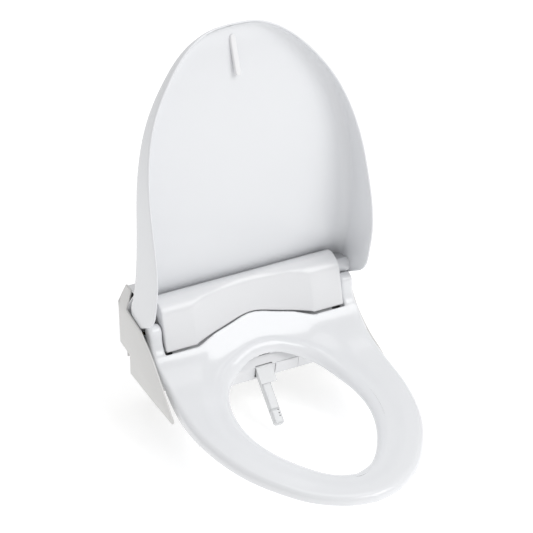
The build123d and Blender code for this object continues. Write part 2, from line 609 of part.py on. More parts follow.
with BuildPart() as wand_tube:
    extrude(wand_section(WAND_BACK), amount=WAND_LENGTH - HEAD_LENGTH)
    with BuildSketch(wand_plane(WAND_BACK, -WAND_DEEP / 2 + 1.5)):
        Rectangle(WAND_WIDTH - 4, WAND_DEEP - 7)
    extrude(amount=WAND_LENGTH - HEAD_LENGTH, mode=Mode.SUBTRACT)
    add(rack_slot.part, mode=Mode.SUBTRACT)
wand_tube.part.label = "wand_tube"
export_step(wand_tube.part, "parts/wand_tube.step")

with BuildPart() as wand_head:
    extrude(wand_section(WAND_OUT - HEAD_LENGTH), amount=HEAD_LENGTH)
    tip = wand_head.faces().sort_by(lambda f: f.center().dot(AX))[-1]
    fillet(tip.edges(), radius=3.0)
    for along in HOLE_ALONG:
        with Locations(Plane(origin=wand_point(along, 0, HOLE_X), z_dir=tuple(UP))):
            Cylinder(0.9, 5, mode=Mode.SUBTRACT)
    add(rack_slot.part, mode=Mode.SUBTRACT)
wand_head.part.label = "wand_head"
export_step(wand_head.part, "parts/wand_head.step")

half_tip = TOOTH_PITCH / 4 - 0.06 - ADDENDUM * 0.364
half_root = TOOTH_PITCH / 4 - 0.06 + DEDENDUM * 0.364
with BuildPart() as wand_rack:
    teeth_up = PITCH_UP - ADDENDUM
    root_up = PITCH_UP + DEDENDUM
    outline = [(RACK_BACK, -WAND_DEEP + RACK_TALL)]
    outline.append((RACK_BACK, root_up))
    first = PINION_ALONG + 0.5 * TOOTH_PITCH
    for i in range(-1, RACK_TEETH):
        at = first + i * TOOTH_PITCH
        outline += [(at - half_root, root_up), (at - half_tip, teeth_up),
                    (at + half_tip, teeth_up), (at + half_root, root_up)]
    end = outline[-1][0] + 0.8
    outline += [(end, root_up), (end, -WAND_DEEP + RACK_TALL)]
    run = Plane(origin=wand_point(0, 0), x_dir=tuple(AX), z_dir=(1, 0, 0))
    with BuildSketch(run):
        with BuildLine():
            Polyline(*[(a, -u if run.y_dir.dot(UP) < 0 else u) for a, u in outline], close=True)
        make_face()
    extrude(amount=RACK_WIDE / 2, both=True)
wand_rack.part.label = "wand_rack"
export_step(wand_rack.part, "parts/wand_rack.step")

PINION_CENTRE = wand_point(PINION_ALONG, PITCH_UP - PINION_RADIUS)
BASE_RADIUS = PINION_RADIUS * cos(PRESSURE)


def tooth_half_angle(radius):
    """Half the angle that a pinion tooth covers at a radius, on an involute flank."""
    at_pitch = (TOOTH_PITCH / 2 - 0.25) / (2 * PINION_RADIUS)
    if radius <= BASE_RADIUS:
        radius = BASE_RADIUS
    turn = sqrt((radius / BASE_RADIUS) ** 2 - 1)
    pitch_turn = sqrt((PINION_RADIUS / BASE_RADIUS) ** 2 - 1)
    return at_pitch + (pitch_turn - PRESSURE) - (turn - atan(turn))


with BuildPart() as drive_pinion:
    radii = [PINION_RADIUS - DEDENDUM, BASE_RADIUS, 6.2, 6.45, 6.75, PINION_RADIUS + ADDENDUM]
    outline = []
    for i in range(PINION_TEETH):
        middle_angle = 2 * pi * i / PINION_TEETH
        for r in radii:
            a = middle_angle - tooth_half_angle(r)
            outline.append((r * cos(a), r * sin(a)))
        for r in radii[::-1]:
            a = middle_angle + tooth_half_angle(r)
            outline.append((r * cos(a), r * sin(a)))
    with BuildSketch(Plane(origin=PINION_CENTRE, x_dir=tuple(UP), z_dir=(1, 0, 0))):
        with BuildLine():
            Polyline(*outline, close=True)
        make_face()
    extrude(amount=RACK_WIDE / 2 - 0.2, both=True)
    with Locations(Plane(origin=PINION_CENTRE - Vector(4, 0, 0), z_dir=(1, 0, 0))):
        Cylinder(3.0, 5)
        Cylinder(1.5 + BORE_GAP, 30, mode=Mode.SUBTRACT)
drive_pinion.part.label = "drive_pinion"
export_step(drive_pinion.part, "parts/drive_pinion.step")

with BuildPart() as wand_motor:
    motor_x = WAND_X - WAND_WIDTH / 2 - 3.2
    with Locations(Plane(origin=(motor_x - 9, PINION_CENTRE.Y, PINION_CENTRE.Z), z_dir=(1, 0, 0))):
        Cylinder(10.0, 18)
    with Locations(Plane(origin=(motor_x - 6, PINION_CENTRE.Y, PINION_CENTRE.Z + 5), z_dir=(1, 0, 0))):
        Box(12, 14, 8)
    with Locations(Plane(origin=(motor_x + 8, PINION_CENTRE.Y, PINION_CENTRE.Z), z_dir=(1, 0, 0))):
        Cylinder(1.5, 18)
wand_motor.part.label = "wand_motor"
export_step(wand_motor.part, "parts/wand_motor.step")

CRADLE_BACK = -104.0
with BuildPart() as wand_cradle:
    outer_wide = WAND_WIDTH + 5.0
    with BuildSketch(wand_plane(CRADLE_BACK, -WAND_DEEP / 2 - 2.5)):
        Rectangle(outer_wide, WAND_DEEP)
        with Locations((0, -2.4 if wand_plane(0, 0).y_dir.dot(UP) < 0 else 2.4)):
            Rectangle(WAND_WIDTH + 0.8, WAND_DEEP, mode=Mode.SUBTRACT)
    extrude(amount=-CRADLE_BACK - 19)
    for along in (-30, -62):
        spot = wand_point(along, -WAND_DEEP - 2)
        floor_z = TUNNEL_TOP if spot.Y > TUNNEL_FRONT else FLOOR_TOP
        block((WAND_X - 5, WAND_X + 5), (spot.Y - 3, spot.Y + 3), (floor_z, spot.Z - 0.5))
wand_cradle.part.label = "wand_cradle"
export_step(wand_cradle.part, "parts/wand_cradle.step")

# ================================================================ what the main unit holds
TANK_X = (-142.0, -46.0)
TANK_Y = (-10.0, 45.0)
TANK_Z = (TUNNEL_TOP, 66.0)
TANK_WALL = 2.5
with BuildPart() as water_tank:
    block(TANK_X, TANK_Y, TANK_Z)
    fillet(water_tank.edges().filter_by(Axis.Z), radius=7)
    block((TANK_X[0] + TANK_WALL, TANK_X[1] - TANK_WALL), (TANK_Y[0] + TANK_WALL, TANK_Y[1] - TANK_WALL),
          (TANK_Z[0] + TANK_WALL, TANK_Z[1] + 1), Mode.SUBTRACT)
water_tank.part.label = "water_tank"
export_step(water_tank.part, "parts/water_tank.step")

with BuildPart() as tank_lid:
    block(TANK_X, TANK_Y, (TANK_Z[1], TANK_Z[1] + 3))
    fillet(tank_lid.edges().filter_by(Axis.Z), radius=7)
    with Locations((-70, 17, TANK_Z[1] + 3), (-118, 17, TANK_Z[1] + 3)):
        Cylinder(4, 6, align=(Align.CENTER, Align.CENTER, Align.MIN))
tank_lid.part.label = "tank_lid"
export_step(tank_lid.part, "parts/tank_lid.step")

with BuildPart() as tank_heater:
    with BuildLine():
        heater_line = FilletPolyline((-135, 4, 24), (-60, 4, 24), (-60, 30, 24), (-135, 30, 24), radius=12)
    with BuildSketch(Plane(origin=heater_line @ 0, z_dir=heater_line % 0)):
        Circle(3.5)
    sweep()
tank_heater.part.label = "tank_heater"
export_step(tank_heater.part, "parts/tank_heater.step")

with BuildPart() as inlet_fitting:
    with Locations((*INLET_SPOT, INLET_END)):
        Cylinder(INLET_RADIUS, INLET_TOP - INLET_END, align=(Align.CENTER, Align.CENTER, Align.MIN))
        Cylinder(INLET_NECK, CORNER_FLOOR + WALL - INLET_END, align=(Align.CENTER, Align.CENTER, Align.MIN))
    with Locations((*INLET_SPOT, CORNER_FLOOR + WALL)):
        Cylinder(13, 5, align=(Align.CENTER, Align.CENTER, Align.MIN))
    with Locations((*INLET_SPOT, INLET_END - 1)):
        Cylinder(7, 60, align=(Align.CENTER, Align.CENTER, Align.MIN), mode=Mode.SUBTRACT)
inlet_fitting.part.label = "inlet_fitting"
export_step(inlet_fitting.part, "parts/inlet_fitting.step")

with BuildPart() as inlet_strainer:
    with Locations((*INLET_SPOT, INLET_END + 2)):
        Cylinder(6.8, 16, align=(Align.CENTER, Align.CENTER, Align.MIN))
        Cylinder(5.6, 14, align=(Align.CENTER, Align.CENTER, Align.MIN), mode=Mode.SUBTRACT)
    with Locations((*INLET_SPOT, INLET_END + 9)):
        with PolarLocations(6.2, 6):
            Box(3, 2.4, 10, mode=Mode.SUBTRACT)
inlet_strainer.part.label = "inlet_strainer"
export_step(inlet_strainer.part, "parts/inlet_strainer.step")

with BuildPart() as inlet_valve:
    block((-176, -150), (20, 46), (CORNER_FLOOR + WALL + 5, CORNER_FLOOR + WALL + 21))
    with Locations((-163, 33, CORNER_FLOOR + WALL + 21)):
        Cylinder(10, 22, align=(Align.CENTER, Align.CENTER, Align.MIN))
inlet_valve.part.label = "inlet_valve"
export_step(inlet_valve.part, "parts/inlet_valve.step")

with BuildPart() as flow_valve:
    block((-42, -20), (-26, 4), (TUNNEL_TOP, TUNNEL_TOP + 24))
    with Locations((-31, -11, TUNNEL_TOP + 24)):
        Cylinder(9.5, 13, align=(Align.CENTER, Align.CENTER, Align.MIN))
flow_valve.part.label = "flow_valve"
export_step(flow_valve.part, "parts/flow_valve.step")

with BuildPart() as water_tubes:
    routes = [
        ((-150, 33, 49), (-145, 33, 49), (-145, 33, 80), (-118, 33, 80), (-118, 17, 80), (-118, 17, 75)),
        ((-70, 17, 75), (-70, 17, 82), (-40, 17, 82), (-31, -11, 68), (-31, -11, 50.5)),
    ]
    for route in routes:
        with BuildLine() as line:
            tube_line = FilletPolyline(*route, radius=2.4)
        with BuildSketch(Plane(origin=tube_line @ 0, z_dir=tube_line % 0)):
            Circle(2.2)
        sweep(path=tube_line)
water_tubes.part.label = "water_tubes"
export_step(water_tubes.part, "parts/water_tubes.step")

BOARD_X = (14.0, 84.0)
BOARD_Y = (-30.0, 44.0)
BOARD_Z = 20.0
with BuildPart() as controller_board:
    block(BOARD_X, BOARD_Y, (BOARD_Z, BOARD_Z + 1.6))
    top_of_board = BOARD_Z + 1.6
    for x, y, wide, deep, tall in ((28, -15, 18, 14, 15), (54, -16, 14, 20, 6), (72, -12, 12, 24, 12),
                                   (32, 16, 12, 12, 3), (52, 20, 8, 26, 9), (70, 26, 14, 16, 17)):
        block((x - wide / 2, x + wide / 2), (y - deep / 2, y + deep / 2), (top_of_board, top_of_board + tall))
    with Locations((22, 36, top_of_board), (34, 36, top_of_board)):
        Cylinder(4.5, 14, align=(Align.CENTER, Align.CENTER, Align.MIN))
    with Locations((BOARD_X[0] + 4, BOARD_Y[0] + 4, TUNNEL_TOP), (BOARD_X[1] - 4, BOARD_Y[0] + 4, TUNNEL_TOP),
                   (BOARD_X[0] + 4, BOARD_Y[1] - 4, TUNNEL_TOP), (BOARD_X[1] - 4, BOARD_Y[1] - 4, TUNNEL_TOP)):
        Cylinder(2.5, BOARD_Z - TUNNEL_TOP, align=(Align.CENTER, Align.CENTER, Align.MIN))
controller_board.part.label = "controller_board"
export_step(controller_board.part, "parts/controller_board.step")

with BuildPart() as board_shield:
    block((BOARD_X[0] - 3, BOARD_X[1] + 3), (BOARD_Y[0] - 3, BOARD_Y[1] + 2), (24, 46))
    block((BOARD_X[0] - 1.4, BOARD_X[1] + 1.4), (BOARD_Y[0] - 1.4, BOARD_Y[1] + 0.4), (23, 44.4), Mode.SUBTRACT)
board_shield.part.label = "board_shield"
export_step(board_shield.part, "parts/board_shield.step")

with BuildPart() as transformer:
    block((106, 140), (14, 44), (FLOOR_TOP, 44))
    fillet(transformer.edges().filter_by(Axis.Z), radius=2)
    block((102, 144), (20, 38), (14, 37))
transformer.part.label = "transformer"
export_step(transformer.part, "parts/transformer.step")

# ---------------------------------------------------------------- warm air
FAN_SPOT = (116.0, -29.0)
FAN_BASE = TUNNEL_TOP
FAN_RADIUS = 21.0
SHAFT = 1.5
with BuildPart() as fan_housing:
    with Locations((*FAN_SPOT, FAN_BASE)):
        Cylinder(26.5, 24, align=(Align.CENTER, Align.CENTER, Align.MIN))
        Cylinder(12, 30, align=(Align.CENTER, Align.CENTER, Align.MIN), mode=Mode.SUBTRACT)
    block((80, 97), (-56.5, -42), (FAN_BASE, FAN_BASE + 24))
    block((79, 101), (-55, -43.5), (FAN_BASE + 1.5, FAN_BASE + 22.5), Mode.SUBTRACT)
    with Locations((*FAN_SPOT, FAN_BASE)):
        Cylinder(24.5, 22, align=(Align.CENTER, Align.CENTER, Align.MIN), mode=Mode.SUBTRACT)
fan_housing.part.label = "fan_housing"
export_step(fan_housing.part, "parts/fan_housing.step")

with BuildPart() as fan_motor:
    with Locations((*FAN_SPOT, FAN_BASE)):
        Cylinder(9, 9, align=(Align.CENTER, Align.CENTER, Align.MIN))
        Cylinder(SHAFT, 19, align=(Align.CENTER, Align.CENTER, Align.MIN))
fan_motor.part.label = "fan_motor"
export_step(fan_motor.part, "parts/fan_motor.step")

with BuildPart() as fan_impeller:
    with Locations((*FAN_SPOT, FAN_BASE + 10)):
        Cylinder(FAN_RADIUS, 1.6, align=(Align.CENTER, Align.CENTER, Align.MIN))
        Cylinder(4.5, 8, align=(Align.CENTER, Align.CENTER, Align.MIN))
        with PolarLocations(FAN_RADIUS - 3.5, 20):
            with Locations(Location((0, 0, 5), (0, 0, 35))):
                Box(7, 1.0, 10)
        Cylinder(SHAFT + BORE_GAP, 30, mode=Mode.SUBTRACT)
    with Locations((*FAN_SPOT, FAN_BASE + 19)):
        Cylinder(FAN_RADIUS, 1.0, align=(Align.CENTER, Align.CENTER, Align.MIN))
        Cylinder(FAN_RADIUS - 7, 1.0, align=(Align.CENTER, Align.CENTER, Align.MIN), mode=Mode.SUBTRACT)
fan_impeller.part.label = "fan_impeller"
export_step(fan_impeller.part, "parts/fan_impeller.step")

with BuildPart() as dryer_duct:
    block((24, 79), (-57, -46), (13.5, 36))
    block((24, 61), (-77, -46), (-4.8, 17))
    block((25.5, 80), (-55.5, -47.5), (15, 34.5), Mode.SUBTRACT)
    block((25.5, 59.5), (-78, -47.5), (-3.3, 15.5), Mode.SUBTRACT)
dryer_duct.part.label = "dryer_duct"
export_step(dryer_duct.part, "parts/dryer_duct.step")

with BuildPart() as dryer_heater:
    for i in range(5):
        block((53 + 5 * i, 54.2 + 5 * i), (-54.6, -48.4), (16.5, 34))
    block((53, 74.2), (-52, -51), (24, 25))
dryer_heater.part.label = "dryer_heater"
export_step(dryer_heater.part, "parts/dryer_heater.step")

with BuildPart() as deodoriser_case:
    block((147, 177), (18, 46), (CORNER_FLOOR + WALL, 78))
    block((149, 175), (20, 47), (CORNER_FLOOR + WALL + 2, 76), Mode.SUBTRACT)
deodoriser_case.part.label = "deodoriser_case"
export_step(deodoriser_case.part, "parts/deodoriser_case.step")

with BuildPart() as carbon_filter:
    block((149.5, 174.5), (20.5, 45), (CORNER_FLOOR + WALL + 2, 75))
    with Locations((162, 46, 56)):
        with GridLocations(5, 1, 4, 1):
            Box(2.4, 6, 30, mode=Mode.SUBTRACT)
carbon_filter.part.label = "carbon_filter"
export_step(carbon_filter.part, "parts/carbon_filter.step")

with BuildPart() as cord_gland:
    with Locations((165, 33, CORNER_FLOOR - 9)):
        Cylinder(6.0, 9 + WALL, align=(Align.CENTER, Align.CENTER, Align.MIN))
        Cylinder(3.6, 20, align=(Align.CENTER, Align.CENTER, Align.MIN), mode=Mode.SUBTRACT)
    with Locations((165, 33, CORNER_FLOOR - 2)):
        Cylinder(8.5, 2, align=(Align.CENTER, Align.CENTER, Align.MIN))
        Cylinder(3.6, 20, mode=Mode.SUBTRACT)
cord_gland.part.label = "cord_gland"
export_step(cord_gland.part, "parts/cord_gland.step")

with BuildPart() as receiver_board:
    block((62, 88), (-29, -27.4), (110, 126))
    with Locations(Plane(origin=(75, -29, 118), z_dir=(0, -1, 0))):
        Cylinder(3, 2.4, align=(Align.CENTER, Align.CENTER, Align.MIN))
receiver_board.part.label = "receiver_board"
export_step(receiver_board.part, "parts/receiver_board.step")

# ================================================================ hinges in the main unit
FRAME_X = (146.0, 156.0)
FRAME_SIDE = [(-33.5, FLOOR_TOP), (-6, FLOOR_TOP), (-7, 84), (-5, 96), (6, 118), (0, 134), (-14, 142),
              (-30, 132), (-41, 116), (-44, 100), (-40, 78), (-33.5, 72)]
with BuildPart() as hinge_frames:
    for side in (-1, 1):
        extrude(side_face(FRAME_SIDE, side * FRAME_X[0]), amount=side * (FRAME_X[1] - FRAME_X[0]))
        with Locations(Plane(origin=(side * 151, *LID_AXIS), z_dir=(1, 0, 0))):
            Cylinder(LID_PIN, 12, mode=Mode.SUBTRACT)
        with Locations(Plane(origin=(side * 151, *SEAT_AXIS), z_dir=(1, 0, 0))):
            Cylinder(SEAT_PIN, 12, mode=Mode.SUBTRACT)
hinge_frames.part.label = "hinge_frames"
export_step(hinge_frames.part, "parts/hinge_frames.step")

PIN_END = 178.0
with BuildPart() as lid_pins:
    for side in (-1, 1):
        with Locations(Plane(origin=(side * (FRAME_X[0] + PIN_END) / 2, *LID_AXIS), z_dir=(1, 0, 0))):
            Cylinder(LID_PIN, PIN_END - FRAME_X[0])
lid_pins.part.label = "lid_pins"
export_step(lid_pins.part, "parts/lid_pins.step")

with BuildPart() as seat_pins:
    for side in (-1, 1):
        with Locations(Plane(origin=(side * (FRAME_X[0] + PIN_END) / 2, *SEAT_AXIS), z_dir=(1, 0, 0))):
            Cylinder(SEAT_PIN, PIN_END - FRAME_X[0])
seat_pins.part.label = "seat_pins"
export_step(seat_pins.part, "parts/seat_pins.step")

DAMPER_LENGTH = 42.0
with BuildPart() as lid_damper:
    with Locations(Plane(origin=(-FRAME_X[0], *LID_AXIS), z_dir=(1, 0, 0))):
        Cylinder(9.5, DAMPER_LENGTH, align=(Align.CENTER, Align.CENTER, Align.MIN))
lid_damper.part.label = "lid_damper"
export_step(lid_damper.part, "parts/lid_damper.step")

with BuildPart() as seat_damper:
    with Locations(Plane(origin=(FRAME_X[0], *SEAT_AXIS), z_dir=(-1, 0, 0))):
        Cylinder(9.0, DAMPER_LENGTH, align=(Align.CENTER, Align.CENTER, Align.MIN))
seat_damper.part.label = "seat_damper"
export_step(seat_damper.part, "parts/seat_damper.step")

# ================================================================ release button
with BuildPart() as release_button:
    with Locations(Plane(origin=(HALF_WIDTH, *BUTTON_SPOT), z_dir=(1, 0, 0))):
        with Locations((0, 0, -3.6)):
            Box(12.4, 16.4, 8.4)
        Cylinder(3.0, HALF_WIDTH - TUNNEL_HALF - 8, align=(Align.CENTER, Align.CENTER, Align.MAX))
    fillet(release_button.faces().sort_by(Axis.X)[-1].edges(), radius=0.8)
release_button.part.label = "release_button"
export_step(release_button.part, "parts/release_button.step")

# ================================================================ bracket on the bowl
PLATE_X = 95.0
PLATE_Y = (-26.0, 46.0)
PLATE_THICK = 3.0
SLOT = (48.0, 18.0)
with BuildPart() as mounting_plate:
    block((-PLATE_X, PLATE_X), PLATE_Y, (0, PLATE_THICK))
    for span in sides(PLATE_X - 3, PLATE_X):
        block(span, PLATE_Y, (0, 8.5))
    for span in sides(PLATE_X - 3, PLATE_X + 4):
        block(span, PLATE_Y, (7, 8.5))
    with BuildSketch(Plane.XY):
        with Locations((-BOLT_SPACING / 2, 6), (BOLT_SPACING / 2, 6)):
            SlotOverall(*SLOT, rotation=90)
    extrude(amount=PLATE_THICK, mode=Mode.SUBTRACT)
    with Locations((0, 10, PLATE_THICK)):
        Box(70, 30, 2, align=(Align.CENTER, Align.CENTER, Align.MIN))
mounting_plate.part.label = "mounting_plate"
export_step(mounting_plate.part, "parts/mounting_plate.step")

with BuildPart() as slide_adjusters:
    for x in (-BOLT_SPACING / 2, BOLT_SPACING / 2):
        with BuildSketch(Plane.XY):
            with Locations((x, 0)):
                SlotOverall(28, 17.4, rotation=90)
        extrude(amount=PLATE_THICK)
        with BuildSketch(Plane.XY.offset(PLATE_THICK)):
            with Locations((x, 0)):
                RectangleRounded(26, 34, 4)
        extrude(amount=2)
        with Locations((x, 0, 0)):
            Cylinder(BOLT_NECK + BORE_GAP, 20, mode=Mode.SUBTRACT)
slide_adjusters.part.label = "slide_adjusters"
export_step(slide_adjusters.part, "parts/slide_adjusters.step")

with BuildPart() as bowl_bolts:
    for x in (-BOLT_SPACING / 2, BOLT_SPACING / 2):
        with Locations((x, 0, -BOLT_REACH)):
            Cylinder(BOLT_RADIUS, BOLT_REACH, align=(Align.CENTER, Align.CENTER, Align.MIN))
        with Locations((x, 0, 0)):
            Cylinder(BOLT_NECK, PLATE_THICK + 2, align=(Align.CENTER, Align.CENTER, Align.MIN))
        with BuildSketch(Plane.XY.offset(PLATE_THICK + 2)):
            with Locations((x, 0)):
                RegularPolygon(7.5, 6)
        extrude(amount=4.5)
    chamfer(bowl_bolts.faces().sort_by(Axis.Z)[:2].edges(), length=0.8)
bowl_bolts.part.label = "bowl_bolts"
export_step(bowl_bolts.part, "parts/bowl_bolts.step")
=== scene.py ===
"""Looks for the electric bidet seat: smooth shells, materials, studio floor, lights and camera.

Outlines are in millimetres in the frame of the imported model, and meshes are made in metres.
Side lines are (y, z), plans are (x, y), and the lid is drawn shut, then turned open.
"""

import json
from math import atan2, cos, hypot, pi, radians, sin, sqrt

import bmesh
import bpy
import numpy as np
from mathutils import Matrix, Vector


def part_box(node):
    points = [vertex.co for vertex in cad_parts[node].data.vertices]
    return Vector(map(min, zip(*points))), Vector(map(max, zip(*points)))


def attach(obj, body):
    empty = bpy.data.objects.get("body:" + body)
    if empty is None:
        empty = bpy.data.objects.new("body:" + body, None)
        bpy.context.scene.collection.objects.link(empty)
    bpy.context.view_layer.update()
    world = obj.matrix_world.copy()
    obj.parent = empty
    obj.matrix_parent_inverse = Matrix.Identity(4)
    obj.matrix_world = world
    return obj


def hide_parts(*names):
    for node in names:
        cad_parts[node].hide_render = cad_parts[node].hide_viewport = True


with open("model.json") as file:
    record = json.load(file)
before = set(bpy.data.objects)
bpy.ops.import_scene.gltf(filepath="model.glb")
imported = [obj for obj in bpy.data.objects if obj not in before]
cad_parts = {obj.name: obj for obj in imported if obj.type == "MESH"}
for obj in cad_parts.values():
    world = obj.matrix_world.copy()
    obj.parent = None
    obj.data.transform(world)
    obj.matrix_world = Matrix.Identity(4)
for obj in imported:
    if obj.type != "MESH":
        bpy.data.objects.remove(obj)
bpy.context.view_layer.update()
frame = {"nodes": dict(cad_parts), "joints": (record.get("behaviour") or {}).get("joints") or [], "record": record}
nodes = frame["nodes"]
joints = {j["name"]: j for j in frame["joints"]}

MM = 0.001


def mm_box(node):
    """A CAD node's lowest and highest corners, in millimetres."""
    low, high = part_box(node)
    return np.array(low) / MM, np.array(high) / MM


def hinge_line(name):
    """The (y, z) of a hinge's axis, in millimetres."""
    place = joints[name]["pos_m"]
    return np.array((place[1], place[2])) / MM


LID_AXIS = hinge_line("lid_hinge")
SEAT_AXIS = hinge_line("seat_hinge")
LID_OPEN = radians(joints["lid_hinge"]["range_deg"][1])
SEAT_FRONT = mm_box("seat_top")[0][1]
ROLL_HALF = mm_box("front_cover")[1][0]
SIDE_OUT = mm_box("side_cover_right")[1][0]
UNIT_BACK = mm_box("rear_cover")[1][1]


# ---------------------------------------------------------------- curves
def smooth_line(points, count):
    """A natural cubic curve through points, sampled evenly along its length."""
    p = np.array(points, float)
    t = np.concatenate(([0], np.cumsum(np.hypot(*np.diff(p, axis=0).T))))
    n = len(p)
    h = np.diff(t)
    a = np.zeros((n, n))
    b = np.zeros((n, p.shape[1]))
    a[0, 0] = a[-1, -1] = 1
    for i in range(1, n - 1):
        a[i, i - 1], a[i, i], a[i, i + 1] = h[i - 1], 2 * (h[i - 1] + h[i]), h[i]
        b[i] = 6 * ((p[i + 1] - p[i]) / h[i] - (p[i] - p[i - 1]) / h[i - 1])
    m = np.linalg.solve(a, b)
    fine = np.linspace(0, t[-1], 40 * n)
    k = np.clip(np.searchsorted(t, fine, side="right") - 1, 0, n - 2)
    lo, hi = (t[k + 1] - fine)[:, None], (fine - t[k])[:, None]
    hk = h[k][:, None]
    curve = (m[k] * lo**3 + m[k + 1] * hi**3) / (6 * hk)
    curve += (p[k] / hk - m[k] * hk / 6) * lo + (p[k + 1] / hk - m[k + 1] * hk / 6) * hi
    return even(curve, count)


def even(points, count):
    """Points at even steps along a polyline."""
    p = np.array(points, float)
    t = np.concatenate(([0], np.cumsum(np.linalg.norm(np.diff(p, axis=0), axis=1))))
    s = np.linspace(0, t[-1], count)
    return np.column_stack([np.interp(s, t, p[:, i]) for i in range(p.shape[1])])


def height_of(points):
    """z as a smooth function of y, from a side line."""
    line = smooth_line(points, 400)
    order = np.argsort(line[:, 0])
    return lambda y: np.interp(y, line[order, 0], line[order, 1])


def arc(centre, radius, start, stop, count):
    """(y, z) points on an arc, with angles in degrees above level-rearwards."""
    a = np.radians(np.linspace(start, stop, count))
    return [(centre[0] + radius * cos(t), centre[1] + radius * sin(t)) for t in a]


def ease(t):
    """0 to 1 with level ends."""
    t = np.clip(t, 0, 1)
    return t * t * (3 - 2 * t)


def inset(loop, amount):
    """A closed (y, z) loop moved inwards, square to the line through each point's neighbours."""
    p = np.array(loop, float)
    ahead, behind = np.roll(p, -1, axis=0), np.roll(p, 1, axis=0)
    along = ahead - behind
    along /= np.maximum(np.linalg.norm(along, axis=1, keepdims=True), 1e-9)
    normal = np.column_stack((-along[:, 1], along[:, 0]))
    area = np.sum(p[:, 0] * ahead[:, 1] - ahead[:, 0] * p[:, 1])
    return p + normal * amount * (1 if area > 0 else -1)


# ---------------------------------------------------------------- meshes
def make_mesh(name, points, faces, merge=0.05):
    """An object from points in millimetres, with near points joined and normals outwards."""
    mesh = bpy.data.meshes.new(name)
    mesh.from_pydata([Vector(p) * MM for p in points], [], faces)
    work = bmesh.new()
    work.from_mesh(mesh)
    bmesh.ops.remove_doubles(work, verts=work.verts, dist=merge * MM)
    bmesh.ops.dissolve_degenerate(work, edges=work.edges, dist=0.01 * MM)
    bmesh.ops.recalc_face_normals(work, faces=work.faces)
    for face in work.faces:
        face.smooth = True
    work.to_mesh(mesh)
    work.free()
    piece = bpy.data.objects.new(name, mesh)
    bpy.context.scene.collection.objects.link(piece)
    return piece


def grid_faces(rows, columns, start=0, wrap=False):
    """Quads between neighbouring rows of points; wrap joins each row's end to its start."""
    faces = []
    last = columns if wrap else columns - 1
    for i in range(rows - 1):
        for j in range(last):
            a, b = start + i * columns + j, start + i * columns + (j + 1) % columns
            faces.append((a, b, b + columns, a + columns))
    return faces


def stacked(name, rings):
    """A closed body from loops of points, one after another, with both end loops capped."""
    count = len(rings[0])
    points = [p for ring in rings for p in ring]
    faces = grid_faces(len(rings), count, wrap=True)
    faces.append(tuple(range(count))[::-1])
    faces.append(tuple(range(len(points) - count, len(points))))
    return make_mesh(name, points, faces)


def rounded_slab(name, loop, start, stop, edge, lean=None, steps=5):
    """A side outline given thickness along x, with rounded edges; lean moves x by (y, z)."""
    rings = []
    sign = 1 if stop > start else -1
    sweep = np.linspace(0, pi / 2, steps)
    places = [(start + sign * edge * (1 - cos(t)), edge * (1 - sin(t))) for t in sweep]
    places += [(stop - sign * edge * (1 - cos(t)), edge * (1 - sin(t))) for t in sweep[::-1]]
    for x, depth in places:
        ring = inset(loop, depth)
        rings.append([(x + (lean(y, z) if lean else 0), y, z) for y, z in ring])
    return stacked(name, rings)


def blended(name, pieces, voxel, rounds):
    """Pieces joined into one skin: remeshed together, then smoothed where they meet."""
    work = bmesh.new()
    for piece in pieces:
        work.from_mesh(piece.data)
        bpy.data.objects.remove(piece)
    mesh = bpy.data.meshes.new(name)
    work.to_mesh(mesh)
    work.free()
    joined = bpy.data.objects.new(name, mesh)
    bpy.context.scene.collection.objects.link(joined)
    remesh = joined.modifiers.new("skin", "REMESH")
    remesh.mode = "VOXEL"
    remesh.voxel_size = voxel * MM
    bpy.context.view_layer.update()
    skin = bpy.data.meshes.new_from_object(joined.evaluated_get(bpy.context.evaluated_depsgraph_get()))
    joined.modifiers.clear()
    joined.data = skin
    work = bmesh.new()
    work.from_mesh(skin)
    for _ in range(rounds):
        bmesh.ops.smooth_vert(
            work, verts=work.verts, factor=0.5, use_axis_x=True, use_axis_y=True, use_axis_z=True
        )
    for face in work.faces:
        face.smooth = True
    work.to_mesh(skin)
    work.free()
    return joined


def cut_window(piece, node, gap):
    """An opening through a piece for a CAD node that sits in it, with a gap all round."""
    low, high = mm_box(node)
    (y0, z0), (y1, z1) = low[1:] - gap, high[1:] + gap
    cutter = rounded_slab("window", [(y0, z0), (y1, z0), (y1, z1), (y0, z1)], low[0] - 20, high[0] + 20, 0.2)
    cut = piece.modifiers.new("window", "BOOLEAN")
    cut.operation = "DIFFERENCE"
    cut.object = cutter
    bpy.context.view_layer.update()
    mesh = bpy.data.meshes.new_from_object(piece.evaluated_get(bpy.context.evaluated_depsgraph_get()))
    piece.modifiers.clear()
    piece.data = mesh
    bpy.data.objects.remove(cutter)
    return piece


def finish_piece(piece, body, material, stands_for=()):
    """Gives a piece its body and material, and hides the CAD nodes it stands for."""
    piece.data.materials.clear()
    piece.data.materials.append(material)
    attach(piece, body)
    if stands_for:
        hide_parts(*stands_for)
    return piece


# ---------------------------------------------------------------- materials
def noise(tree, scale, detail=3.0):
    """A noise texture over the object's own coordinates."""
    place = tree.nodes.new("ShaderNodeTexCoord")
    texture = tree.nodes.new("ShaderNodeTexNoise")
    texture.inputs["Scale"].default_value = scale
    texture.inputs["Detail"].default_value = detail
    tree.links.new(place.outputs["Object"], texture.inputs["Vector"])
    return texture.outputs["Fac"]


def spread(tree, value, low, high):
    """A 0 to 1 value mapped to a range."""
    node = tree.nodes.new("ShaderNodeMapRange")
    node.inputs["From Min"].default_value = 0.3
    node.inputs["From Max"].default_value = 0.7
    node.inputs["To Min"].default_value = low
    node.inputs["To Max"].default_value = high
    tree.links.new(value, node.inputs["Value"])
    return node.outputs["Result"]


